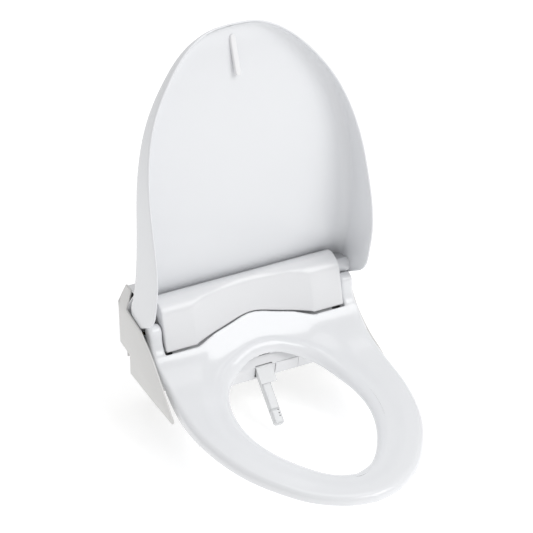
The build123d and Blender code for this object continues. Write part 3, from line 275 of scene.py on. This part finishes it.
def surface(name, color, rough, grain=0.02, grain_scale=900.0, vary=0.015, metal=0.0, coat=0.0, clear=0.0,
            subsurface=0.0):
    """A moulded or machined finish: slight cloudiness in colour and gloss, and a fine grain."""
    material = bpy.data.materials.new(name)
    material.use_nodes = True
    tree = material.node_tree
    shader = tree.nodes["Principled BSDF"]
    shader.inputs["Metallic"].default_value = metal
    shader.inputs["Coat Weight"].default_value = coat
    shader.inputs["Coat Roughness"].default_value = 0.08
    shader.inputs["Transmission Weight"].default_value = clear
    shader.inputs["Subsurface Weight"].default_value = subsurface
    shader.inputs["Subsurface Radius"].default_value = (0.006, 0.006, 0.006)
    shader.inputs["IOR"].default_value = 1.48

    cloud = noise(tree, 14.0)
    blend = tree.nodes.new("ShaderNodeMix")
    blend.data_type = "RGBA"
    blend.inputs["A"].default_value = (*[max(c - vary, 0) for c in color], 1)
    blend.inputs["B"].default_value = (*[min(c + vary, 1) for c in color], 1)
    tree.links.new(cloud, blend.inputs["Factor"])
    tree.links.new(blend.outputs["Result"], shader.inputs["Base Color"])

    gloss = spread(tree, noise(tree, 9.0, 1.0), rough * 0.96, rough * 1.04)
    tree.links.new(gloss, shader.inputs["Roughness"])

    bump = tree.nodes.new("ShaderNodeBump")
    bump.inputs["Strength"].default_value = grain
    bump.inputs["Distance"].default_value = 0.0002
    tree.links.new(noise(tree, grain_scale), bump.inputs["Height"])
    tree.links.new(bump.outputs["Normal"], shader.inputs["Normal"])
    return material


def brushed(name, color, rough):
    """Turned or brushed metal: fine lines along x in the gloss."""
    material = surface(name, color, rough, metal=1.0, vary=0.03)
    tree = material.node_tree
    shader = tree.nodes["Principled BSDF"]
    place = tree.nodes.new("ShaderNodeTexCoord")
    squeeze = tree.nodes.new("ShaderNodeMapping")
    squeeze.inputs["Scale"].default_value = (40.0, 1800.0, 1800.0)
    lines = tree.nodes.new("ShaderNodeTexNoise")
    lines.inputs["Scale"].default_value = 1.0
    tree.links.new(place.outputs["Object"], squeeze.inputs["Vector"])
    tree.links.new(squeeze.outputs["Vector"], lines.inputs["Vector"])
    tree.links.new(spread(tree, lines.outputs["Fac"], rough * 0.7, rough * 1.4), shader.inputs["Roughness"])
    return material


MATERIALS = {
    "seat_white": surface("seat_white", (0.83, 0.84, 0.86), 0.16, grain=0.01, vary=0.006, coat=0.35),
    "lid_white": surface("lid_white", (0.80, 0.81, 0.83), 0.24, grain=0.015, vary=0.006, coat=0.15),
    "cover_white": surface("cover_white", (0.80, 0.805, 0.82), 0.22, grain=0.015, vary=0.006, coat=0.15),
    # side_grey: the side wings are the same white plastic as the other shells; this darker grey is painted shade
    # for the shade they sit in. Its roughness and grain are its own.
    "side_grey": surface("side_grey", (0.70, 0.695, 0.685), 0.32, grain=0.03, vary=0.008),
    "case_grey": surface("case_grey", (0.55, 0.55, 0.54), 0.55, grain=0.12, vary=0.02),
    "wand_white": surface("wand_white", (0.69, 0.70, 0.71), 0.2, grain=0.01, vary=0.01, coat=0.2),
    "mechanism": surface("mechanism", (0.70, 0.68, 0.62), 0.45, grain=0.05, vary=0.02),
    "rubber_grey": surface("rubber_grey", (0.84, 0.84, 0.85), 0.6, grain=0.15, grain_scale=500, vary=0.02),
    "rubber_dark": surface("rubber_dark", (0.03, 0.03, 0.03), 0.65, grain=0.2, grain_scale=500, vary=0.01),
    "steel": brushed("steel", (0.62, 0.62, 0.63), 0.28),
    "zinc": surface("zinc", (0.50, 0.51, 0.52), 0.42, grain=0.2, grain_scale=350, vary=0.03, metal=0.8),
    "brass": brushed("brass", (0.72, 0.56, 0.27), 0.3),
    "board": surface("board", (0.03, 0.16, 0.07), 0.4, grain=0.1, grain_scale=300, vary=0.02, coat=0.3),
    "black_plastic": surface(
        "black_plastic", (0.03, 0.03, 0.03), 0.5, grain=0.15, grain_scale=600, vary=0.01
    ),
    "tube": surface("tube", (0.75, 0.78, 0.80), 0.25, grain=0.02, vary=0.02, clear=0.35),
    "carbon": surface("carbon", (0.02, 0.02, 0.02), 0.85, grain=0.5, grain_scale=250, vary=0.01),
    "foil": brushed("foil", (0.75, 0.75, 0.76), 0.25),
}


def dress_cad_nodes():
    """Every CAD node that shows gets the finish of its own material slot."""
    for part in frame["record"]["subparts"]:
        piece = nodes[part["node"]]
        piece.data.materials.clear()
        piece.data.materials.append(MATERIALS[part["material_slot"]])


# ---------------------------------------------------------------- outlines
SEAT_HALF = [(0, SEAT_FRONT), (33, -465), (65, -450), (95, -427), (120, -396), (145, -356), (165, -308),
             (176, -265), (183, -215), (184, -170), (182.5, -125), (182, -70), (182.5, -40)]
HOLE_HALF = [(0, -400), (29, -389), (52, -366), (75, -329), (94, -284), (103, -235), (101, -185),
             (90, -143), (79, -123), (61, -106), (44, -96), (21, -87), (0, -85)]
SEAT_TOP_LINE = [(-485, 22.5), (-400, 25), (-300, 25.5), (-225, 26), (-180, 28), (-150, 32), (-132, 36),
                 (-110, 42.5), (-90, 51), (-75, 59.5), (-60, 71), (-48, 84), (-36, 97)]
SEAT_LOW_LINE = [(-485, 7.5), (-160, 7.5), (-143, 10), (-123, 15.6), (-106, 24), (-86, 38), (-60, 57),
                 (-35, 80), (-22, 95)]
LID_HALF = [(0, -475), (42, -471), (72, -458), (97, -439), (132, -398), (152, -366), (169, -326),
            (180, -284), (186, -244), (189, -196), (190.3, -146), (190.3, -93), (189.6, -24), (189.2, 8)]
LID_TAIL_RADIUS = 35.5
LID_TAIL = arc(LID_AXIS, LID_TAIL_RADIUS, 140, 50, 10)
LID_TOP_LINE = [(-486, 19), (-466, 31), (-425, 36.5), (-345, 43), (-255, 57), (-195, 71), (-135, 90),
                (-90, 111), (-60, 129)] + LID_TAIL
LID_RIM_LINE = [(-486, 18), (-455, 14), (-425, 10), (-365, 6), (-325, 4), (-275, 1.5), (-243, 0.5),
                (-195, 0.5), (-145, 2), (-120, 6), (-92, 14), (-55, 33), (-25, 54), (-13, 71)]
LID_WALL = 3.0


# ---------------------------------------------------------------- lid
def opened(points):
    """Points of the shut lid turned to the open lid's place."""
    turn = -LID_OPEN
    out = []
    for x, y, z in points:
        dy, dz = y - LID_AXIS[0], z - LID_AXIS[1]
        y_open = LID_AXIS[0] + dy * cos(turn) - dz * sin(turn)
        z_open = LID_AXIS[1] + dy * sin(turn) + dz * cos(turn)
        out.append((x, y_open, z_open))
    return out


LID_SPINE_FRONT = -345.0  # front end of the line on the middle plane that the lid's rows run in to
LID_EDGE_OUT = 13.0  # round of the lid's edge, outside
LID_EDGE_IN = 17.0  # and inside
SKIRT_POINTS, ROUND_POINTS, ROOF_POINTS, RIM_POINTS = 5, 9, 15, 7  # along each stretch of a row
OUTER_ROW = SKIRT_POINTS + (ROUND_POINTS - 1) + (ROOF_POINTS - 1)
ON_TOP, UNDER_TOP = "on top", "under top"  # a height taken from the lid's top line


def lid_row(length, crest, low, steep, radius):
    """A row's (distance in, height) points: up the skirt and in, then back along the inside to the rim."""
    half = LID_WALL / 2
    foot = low + half
    within = min(LID_EDGE_IN, (crest - low) * 0.7)
    ceiling = crest - LID_WALL * steep - within
    start_in = LID_WALL + LID_EDGE_IN
    row = [(0.0, foot + (crest - radius - foot) * t) for t in np.linspace(0, 1, SKIRT_POINTS)]
    for t in np.linspace(0, pi / 2, ROUND_POINTS)[1:]:
        row.append((radius * (1 - cos(t)), crest - radius + radius * sin(t)))
    for t in np.linspace(0, 1, ROOF_POINTS)[1:]:
        row.append((radius + (length - radius) * t, ON_TOP))
    for t in np.linspace(1, 0, ROOF_POINTS)[:-1]:
        row.append((start_in + (length - start_in) * t, UNDER_TOP))
    for t in np.linspace(pi / 2, 0, ROUND_POINTS):
        row.append((LID_WALL + within * (1 - cos(t)), ceiling + within * sin(t)))
    for t in np.linspace(1, 0, SKIRT_POINTS)[1:]:
        row.append((LID_WALL, foot + (ceiling - foot) * t))
    for t in np.linspace(0, pi, RIM_POINTS)[1:-1]:
        row.append((half + half * cos(t), foot - half * sin(t)))
    return row


def lid_shell():
    """The lid, drawn shut: rows from the rim in to the middle plane, all round, turned open at the end."""
    top = height_of(LID_TOP_LINE)
    rim_curve = height_of(LID_RIM_LINE)
    tail_end = LID_TAIL[-1]
    rim_end = LID_RIM_LINE[-1]
    slope = (tail_end[1] - rim_end[1]) / (tail_end[0] - rim_end[0])

    def rim(y):
        return np.where(y > rim_end[0], rim_end[1] + (y - rim_end[0]) * slope, rim_curve(y))

    def steepness(y):
        return sqrt(1 + ((top(y + 2) - top(y - 2)) / 4) ** 2)

    outline = smooth_line(LID_HALF, 90)
    outline = outline[outline[:, 1] < tail_end[0]]
    outline = np.vstack((outline, [(outline[-1][0], tail_end[0])]))
    sides = {}
    for side in (1, -1):
        rows = []
        for x, y in (outline if side == 1 else outline[::-1]):
            run = np.array((-x, max(y, LID_SPINE_FRONT) - y))
            length = max(np.linalg.norm(run), 1e-6)
            unit = run / length
            crest = float(top(y))
            low = float(min(rim(y), crest - 0.2))
            radius = min(LID_EDGE_OUT, (crest - low) * 0.8)
            points = []
            for distance, height in lid_row(length, crest, low, steepness(y), radius):
                px, py = x + unit[0] * distance, y + unit[1] * distance
                over = float(top(py))
                if height == ON_TOP:
                    height = over
                elif height == UNDER_TOP:
                    height = over - LID_WALL * steepness(py)
                else:
                    height = height + (over - crest) * ease(distance / radius)
                points.append((side * px, py, float(height)))
            rows.append(points)
        sides[side] = rows
    ring = sides[-1] + sides[1]
    count = len(ring[0])
    points = [p for row in ring for p in row]
    # the outside and the inside both end on the middle plane, with no wall between them
    ends = {OUTER_ROW - 1, OUTER_ROW}
    faces = grid_faces(len(ring), count, wrap=True)
    faces = [face for face in faces if {face[0] % count, face[1] % count} != ends]
    # a cap at each rear end joins the outside of its row to the inside
    for start in (0, (len(ring) - 1) * count):
        for i in range(OUTER_ROW - 1):
            j = count - RIM_POINTS + 1 - i
            faces.append((start + i, start + i + 1, start + j - 1, start + j))
        faces.append((start, *[start + count - 1 - i for i in range(RIM_POINTS - 1)]))
    return make_mesh("lid", opened(points), faces, merge=0.2)


def lid_arms():
    """The two arms that carry the lid's hinge eyes, drawn shut and turned open."""
    shape = arc(LID_AXIS, LID_TAIL_RADIUS - 2.2, 118, 75, 8) + arc(LID_AXIS, 11.5, 20, -200, 26)
    inside, outside = 164.2, 187.0
    arms = []
    for side, name in ((1, "lid_arm_right"), (-1, "lid_arm_left")):
        arm = rounded_slab(name, shape, side * inside, side * outside, 1.6)
        for vertex in arm.data.vertices:
            vertex.co = Vector(opened([vertex.co / MM])[0]) * MM
        arms.append(arm)
    return arms


# ---------------------------------------------------------------- seat
def ray_hit(outline, centre, angle):
    """Where a ray from a centre meets an outline of (x, y) points."""
    direction = np.array((cos(angle), sin(angle)))
    best = None
    for a, b in zip(outline[:-1], outline[1:]):
        edge = b - a
        det = direction[0] * -edge[1] + direction[1] * edge[0]
        if abs(det) < 1e-9:
            continue
        gap = a - centre
        t = (gap[0] * -edge[1] + gap[1] * edge[0]) / det
        u = (direction[0] * gap[1] - direction[1] * gap[0]) / det
        if t > 0 and -1e-6 <= u <= 1 + 1e-6 and (best is None or t < best):
            best = t
    return centre + direction * best


# (x, distance): how far the hinge cover reaches from the seat's hinge axis
KEEP_OUT = [(-160, 39.8), (-105, 39.8), (-78, 28.4), (-48, 19.6), (-26, 12.8), (0, 8.2),
            (26, 12.8), (48, 19.6), (78, 28.4), (105, 39.8), (160, 39.8)]
SEAT_CENTRE = np.array((0.0, -240.0))  # the seat's rows run outwards from here
SEAT_GAP = 1.1  # between the seat and the hinge cover's reach
SEAT_SIDE_BACK = -37.0  # where the seat's side ends if the hinge cover doesn't stop it first
HOLE_SLOPE = 21.0  # width of the round that falls into the hole
EDGE_ROUND = 10.0  # round of the seat's outer edge
LIFT = 3.0  # the round's crest is this much under the seat's top line
LIFT_RUN = 30.0  # distance over which the seat rises from that crest to its top line
REAR_BLEND = 0.12  # radians before the rear corner over which the edge turns into the rear lip
REAR_LIP = 7.0  # height of the lip along the rear edge
REAR_BACK = 3.0  # how far the lip stands out behind the rear edge
SKIN_VOXEL = 1.4  # of the remesh that joins the seat and its arms
SKIN_ROUNDS = 10


def seat_outline(top):
    """The seat's right half, from the front to the middle of its rear edge, and its rear corner."""
    keep = height_of(KEEP_OUT)
    ys = np.linspace(-150, -34, 400)
    reach = np.hypot(ys - SEAT_AXIS[0], top(ys) - SEAT_AXIS[1])
    rear = []
    for x in np.linspace(182.0, 0, 90):
        room = min(float(keep(x)), KEEP_OUT[0][1]) + SEAT_GAP
        inside = np.nonzero(reach < room)[0]
        rear.append((x, ys[inside[0]] if len(inside) else SEAT_SIDE_BACK))
    side = smooth_line(SEAT_HALF, 160)
    side = side[side[:, 1] < rear[0][1]]
    return np.vstack((side, rear)), rear[0]


def seat_row(top, low, inner, unit, length, flat):
    """A row's (distance out, height) points; flat goes from 0 on the side edge to 1 on the rear lip."""
    slope_run = min(HOLE_SLOPE, length * 0.34)
    edge = EDGE_ROUND * (1 - flat)

    def over(distance):
        return float(top(inner[1] + unit[1] * distance))

    floor = float(low(inner[1]))
    crest = over(slope_run) - LIFT
    start = floor + 3.0
    row = [(1.8, floor + 1.6), (1.2, floor + 0.4), (0.0, floor + 0.8), (0.0, start)]
    for t in np.linspace(0, pi / 2, 12)[1:]:
        row.append((slope_run * (1 - cos(t)), start + (crest - start) * sin(t)))
    for t in np.linspace(0, 1, 21)[1:]:
        d = slope_run + (length - edge - slope_run) * t
        row.append((d, over(d) - LIFT * (1 - float(ease((d - slope_run) / LIFT_RUN)))))
    for t in np.linspace(0, pi / 2, 10)[1:]:
        d = length - edge * (1 - sin(t))
        row.append((d, over(d) - (edge + 1.2 * flat) * (1 - cos(t))))
    base = float(low(inner[1] + unit[1] * length))
    end = row[-1][1]
    bottom = base + (max(base, end - REAR_LIP) - base) * flat
    outer = length + REAR_BACK * flat
    row.append((length + REAR_BACK * flat / 2, (end + bottom) / 2))
    row += [(outer, bottom + 0.8), (outer - 1.0, bottom + 0.1), (outer - 2.6, bottom + 0.2),
            (outer - 3.0, bottom + 1.6)]
    return row


def seat_shell():
    """The seat ring: each row runs from under the hole's edge, over the top, to under the outer edge."""
    top = height_of(SEAT_TOP_LINE)
    low_line = np.array(SEAT_LOW_LINE)

    def low(y):
        return np.interp(y, low_line[:, 0], low_line[:, 1])

    outline, rear_corner = seat_outline(top)
    hole = smooth_line(HOLE_HALF, 200)
    corner = atan2(rear_corner[1] - SEAT_CENTRE[1], rear_corner[0] - SEAT_CENTRE[0])
    angles = [*np.linspace(-pi / 2, 0, 40)[:-1], *np.linspace(0, corner, 30)[:-1]]
    angles += [*np.linspace(corner, pi / 2, 44)]
    rows = []
    for angle in angles:
        aim = min(max(angle, -pi / 2 + 1e-6), pi / 2 - 1e-6)
        outer = ray_hit(outline, SEAT_CENTRE, aim)
        inner = ray_hit(hole, SEAT_CENTRE, aim)
        if abs(abs(angle) - pi / 2) < 1e-4:
            outer[0] = inner[0] = 0.0
        length = np.linalg.norm(outer - inner)
        unit = (outer - inner) / length
        flat = float(ease((angle - corner + REAR_BLEND) / REAR_BLEND))
        row = seat_row(top, low, inner, unit, length, flat)
        rows.append([(inner[0] + unit[0] * d, inner[1] + unit[1] * d, z) for d, z in row])
    left = [[(-x, y, z) for x, y, z in row] for row in rows[1:-1]][::-1]
    ring = rows + left + rows[:1]
    points = [p for row in ring for p in row]
    return make_mesh("seat", points, grid_faces(len(ring), len(ring[0]), wrap=True))


def seat_ears():
    """The two arms that rise from the seat's rear corners to its hinge pins."""
    rise = [(-96, 46), (-88, 50.5), (-75, 58.5), (-60, 70), (-50.5, 80.5), (-46.6, 91)]
    path = [tuple(p) for p in smooth_line(rise, 26)]
    path += arc(SEAT_AXIS, 12.5, 165, -40, 30)
    path += [tuple(p) for p in smooth_line([(-28, 89), (-40, 76), (-60, 58), (-86, 40), (-96, 33)], 24)]
    inside, outside = 160.3, 182.4
    ears = []
    for side, name in ((1, "seat_ear_right"), (-1, "seat_ear_left")):
        ears.append(rounded_slab(name, path, side * inside, side * outside, 4.5, steps=7))
    return ears


# ---------------------------------------------------------------- hinge cover
KNEE = 105.0  # half the width of the scooped face
SCOOP = 14.0  # its depth in the middle
ARCH = [(0, 98.6), (26, 94.5), (48.4, 88.4), (77.7, 82.2), (KNEE, 75.3)]  # (x, z) of the face's foot
ROLL_RADIUS = 30.5
ROLL_END = 2.0  # round at each end of the cover
FACE_LOW = np.array((-56.5, 74.3))  # the face's side line, outside the knees
FACE_HIGH = np.array((-41.0, 134.0))


def roll_shell():
    """The cover over the hinges: its side line, with the face scooped between the knees."""
    along = (FACE_HIGH - FACE_LOW) / np.linalg.norm(FACE_HIGH - FACE_LOW)
    inward = np.array((along[1], -along[0]))
    crown = [tuple(FACE_HIGH), (-39.5, 138), (-36.4, 142.2), (-30.5, 147)]
    crown += arc(LID_AXIS, ROLL_RADIUS, 98, -58, 40)
    arch = height_of([(-x, z) for x, z in ARCH[1:]][::-1] + ARCH)
    flank = list(np.linspace(KNEE, ROLL_HALF - ROLL_END, 12)[1:])
    xs = [-x for x in flank[::-1]] + list(np.linspace(-KNEE, KNEE, 81)) + flank
    rings = []
    for x in xs:
        within = abs(x) < KNEE
        depth = SCOOP * (1 - (x / KNEE) ** 2) if within else 0.0
        level = float(arch(x)) if within else FACE_LOW[1]
        climb = (level - FACE_LOW[1]) / along[1]
        pushed = []
        for p in crown:
            gap = np.dot(np.array(p) - FACE_LOW, inward)
            pushed.append(tuple(np.array(p) + inward * max(depth - gap, 0)))
        foot = FACE_LOW + along * climb + inward * depth
        lip = [tuple(foot + inward * s - along * 1.2 * min(s / 4, 1)) for s in (12.0, 7.0, 3.0)]
        lip.append(tuple(foot + inward * 1.0 - along * 0.4))
        face = [tuple(foot + (np.array(pushed[0]) - foot) * t) for t in np.linspace(0, 1, 24)]
        body = even(pushed, 60)
        line = np.vstack((lip, face[:-1], body))
        for _ in range(3):
            line[5:-1] = (line[4:-2] + 2 * line[5:-1] + line[6:]) / 4
        rings.append([(x, y, z) for y, z in line])
    ends = []
    for side in (-1, 1):
        line = np.array([(y, z) for _, y, z in (rings[0] if side < 0 else rings[-1])])
        caps = []
        for t in np.linspace(0, pi / 2, 5)[1:]:
            ring = inset(line, ROLL_END * (1 - cos(t)))
            caps.append([(side * (ROLL_HALF - ROLL_END + ROLL_END * sin(t)), y, z) for y, z in ring])
        ends.append(caps)
    rings = ends[0][::-1] + rings + ends[1]
    count = len(rings[0])
    points = [p for ring in rings for p in ring]
    faces = grid_faces(len(rings), count)
    faces.append(tuple(range(count)))
    faces.append(tuple(range(len(points) - count, len(points))))
    return make_mesh("hinge_cover", points, faces)


# ---------------------------------------------------------------- side covers
COVER_WALL = 3.0
LEAN_FROM = 118.0  # height above which a side cover leans inwards
LEAN = 11.5 / 33  # inwards for each millimetre up


def side_cover(side, name):
    """The wing at each side of the main unit; above the hinges it leans inwards."""
    if side < 0:
        front = smooth_line([(-148, 13), (-126, 34), (-101, 57), (-65, 88.5), (-54, 95.5), (-42, 101.5)], 30)
        toe = [(-150, 10), (-150, 6.6), (-147, 3.2), (-138, 2.2), (-115, 1.9), (-96, 1.9)]
    else:
        front = smooth_line([(-138, 10), (-128, 14.5), (-103, 21), (-66, 36), (-30, 64), (-11, 97)], 30)
        toe = [(-139.6, 7), (-139, 3.2), (-135, 2.2), (-115, 1.9), (-96, 1.9)]
    loop = [(-92, 0.4), (-20, 0.2), (14.5, 0.2), (14.5, 18), (14.5, 36), (35, 37.9)]
    loop += [(UNIT_BACK - 1.2, 39.5), (UNIT_BACK, 80), (UNIT_BACK + 1, 118), (UNIT_BACK - 2, 135)]
    loop += [(48, 149.6), (38, 149.8), (28, 149.6), (26, 135), (24.5, 119), (18, 117), (8, 115.5)]
    if side < 0:
        loop.append((-30, 110))
    loop += [tuple(p) for p in front[::-1]] + toe

    def lean(y, z):
        return -side * LEAN * max(z - LEAN_FROM, 0)

    dense = []
    for a, b in zip(loop, loop[1:] + loop[:1]):
        steps = max(int(hypot(b[0] - a[0], b[1] - a[1]) / 6), 1)
        dense += [(a[0] + (b[0] - a[0]) * k / steps, a[1] + (b[1] - a[1]) * k / steps) for k in range(steps)]
    return rounded_slab(name, dense, side * (SIDE_OUT - COVER_WALL), side * SIDE_OUT, 0.6, lean=lean)


# ---------------------------------------------------------------- wand
WAND_START = np.array((-5.5, -83.0, 14.7))  # where the wand's upper face leaves the gate
WAND_OUT = np.array(joints["wand_slide"]["axis"])
WAND_UP = np.array((0, WAND_OUT[2], -WAND_OUT[1]))


def wand_head():
    """The wand's head: a soft-cornered bar with a round nose and a groove under it for the rack."""
    half_wide, half_deep, corner = 8.5, 6.5, 3.2
    nose, straight = 6.0, 91.8
    groove_end, groove_half, groove_deep = 87.0, 2.15, 2.8
    rings = []
    sweep = np.linspace(0, pi / 2, 12)
    stations = [70.0, 75.0, 80.0, groove_end - 0.1, groove_end]
    stations += [straight + nose * sin(t) for t in sweep]
    for along in stations:
        ahead = max(along - straight, 0) / nose
        shrink = 1 - sqrt(max(1 - ahead * ahead, 0))
        wide, deep = half_wide - 4.4 * shrink, half_deep - 2.4 * shrink
        middle = WAND_START + WAND_OUT * along - WAND_UP * half_deep
        ring = []
        for a in np.linspace(0, 2 * pi, 41)[:-1] + pi / 40:
            across = np.sign(cos(a)) * (wide - corner) + corner * cos(a)
            rise = np.sign(sin(a)) * (deep - corner) + corner * sin(a)
            ring.append(tuple(middle + np.array((across, 0, 0)) + WAND_UP * rise))
        groove = groove_deep if along < groove_end else 0.0
        half = min(groove_half, wide - corner)
        notch = [(-half, 0), (-half, groove), (half, groove), (half, 0)]
        lowest = len(ring) * 3 // 4
        cut = [tuple(middle + np.array((x, 0, 0)) + WAND_UP * (up - deep)) for x, up in notch]
        ring[lowest:lowest] = cut
        rings.append(ring)
    return stacked("wand_head_skin", rings)


def spray_hole_shade_discs():
    """Black discs for the three spray holes, sunk into the head's upper face in a row near its right edge; their
    black is painted shade for the holes' dark insides.
    """
    points, faces = [], []
    for along in (74.0, 79.5, 84.0):
        middle = WAND_START + WAND_OUT * along + np.array((4.0, 0, 0))
        start = len(points)
        for sink in (0.0, 1.25):
            for a in np.linspace(0, 2 * pi, 17)[:-1]:
                edge = np.array((cos(a), 0, 0)) + WAND_OUT * sin(a)
                points.append(tuple(middle + edge - WAND_UP * sink))
        faces += grid_faces(2, 16, start, wrap=True)
        faces += [tuple(range(start, start + 16)), tuple(range(start + 16, start + 32))]
    return make_mesh("spray_hole_shade_discs", points, faces)


# ---------------------------------------------------------------- the pieces and what they stand for
dress_cad_nodes()
finish_piece(lid_shell(), "lid", MATERIALS["lid_white"], ["lid_shell"])
for arm in lid_arms():
    finish_piece(arm, "lid", MATERIALS["lid_white"])
seat = blended("seat", [seat_shell(), *seat_ears()], SKIN_VOXEL, SKIN_ROUNDS)
finish_piece(seat, "seat", MATERIALS["seat_white"], ["seat_top"])
finish_piece(roll_shell(), "unit", MATERIALS["cover_white"], ["front_cover"])
for side, name, node in ((1, "wing_right", "side_cover_right"), (-1, "wing_left", "side_cover_left")):
    cover = side_cover(side, name)
    if side > 0:
        cut_window(cover, "release_button", 0.3)
    finish_piece(cover, "unit", MATERIALS["side_grey"], [node])
finish_piece(wand_head(), "wand", MATERIALS["wand_white"], ["wand_head"])
# the black discs in the spray holes are painted shade for the holes' dark insides
finish_piece(spray_hole_shade_discs(), "wand", MATERIALS["black_plastic"])


# ---------------------------------------------------------------- floor, lights and camera
FLOOR = -0.075  # height of the floor, in metres


def studio():
    """A pale floor, a white surround and soft lights."""
    size = 12.0
    corners = ((-size, -size), (size, -size), (size, size), (-size, size))
    floor = make_mesh("floor", [(x * 1000, y * 1000, FLOOR * 1000) for x, y in corners], [(0, 1, 2, 3)])
    paper = surface("floor_white", (0.78, 0.78, 0.78), 0.8, grain=0.02, vary=0.002)
    glow = paper.node_tree.nodes["Principled BSDF"]
    glow.inputs["Emission Color"].default_value = (1, 1, 1, 1)
    glow.inputs["Emission Strength"].default_value = 0.47
    floor.data.materials.append(paper)

    world = bpy.data.worlds.new("studio")
    bpy.context.scene.world = world
    world.use_nodes = True
    world.node_tree.nodes["Background"].inputs["Color"].default_value = (1, 1, 1, 1)
    world.node_tree.nodes["Background"].inputs["Strength"].default_value = 0.57

    for name, place, size, power in (
        ("key", (1.2, -1.9, 2.4), 1.8, 34),
        ("top", (0.2, 0.4, 2.8), 2.0, 14),
    ):
        data = bpy.data.lights.new(name, "AREA")
        data.energy = power
        data.size = size
        lamp = bpy.data.objects.new(name, data)
        bpy.context.scene.collection.objects.link(lamp)
        lamp.location = place
        lamp.rotation_euler = (Vector((0, -0.15, 0.15)) - Vector(place)).to_track_quat("-Z", "Y").to_euler()


def camera():
    """The camera at the photograph's viewing angle."""
    azimuth, elevation, distance = radians(-26.40), radians(32.94), 4.154
    target = Vector((-0.012, -0.117, 0.231))
    back = Vector((sin(azimuth) * cos(elevation), -cos(azimuth) * cos(elevation), sin(elevation)))
    data = bpy.data.cameras.new("camera")
    data.lens = 179.3
    data.sensor_width = 36.0
    data.clip_end = 100.0
    eye = bpy.data.objects.new("camera", data)
    bpy.context.scene.collection.objects.link(eye)
    eye.location = target + back * distance
    eye.rotation_euler = back.to_track_quat("Z", "Y").to_euler()
    bpy.context.scene.camera = eye


studio()
camera()
bpy.context.scene.view_settings.view_transform = "Standard"
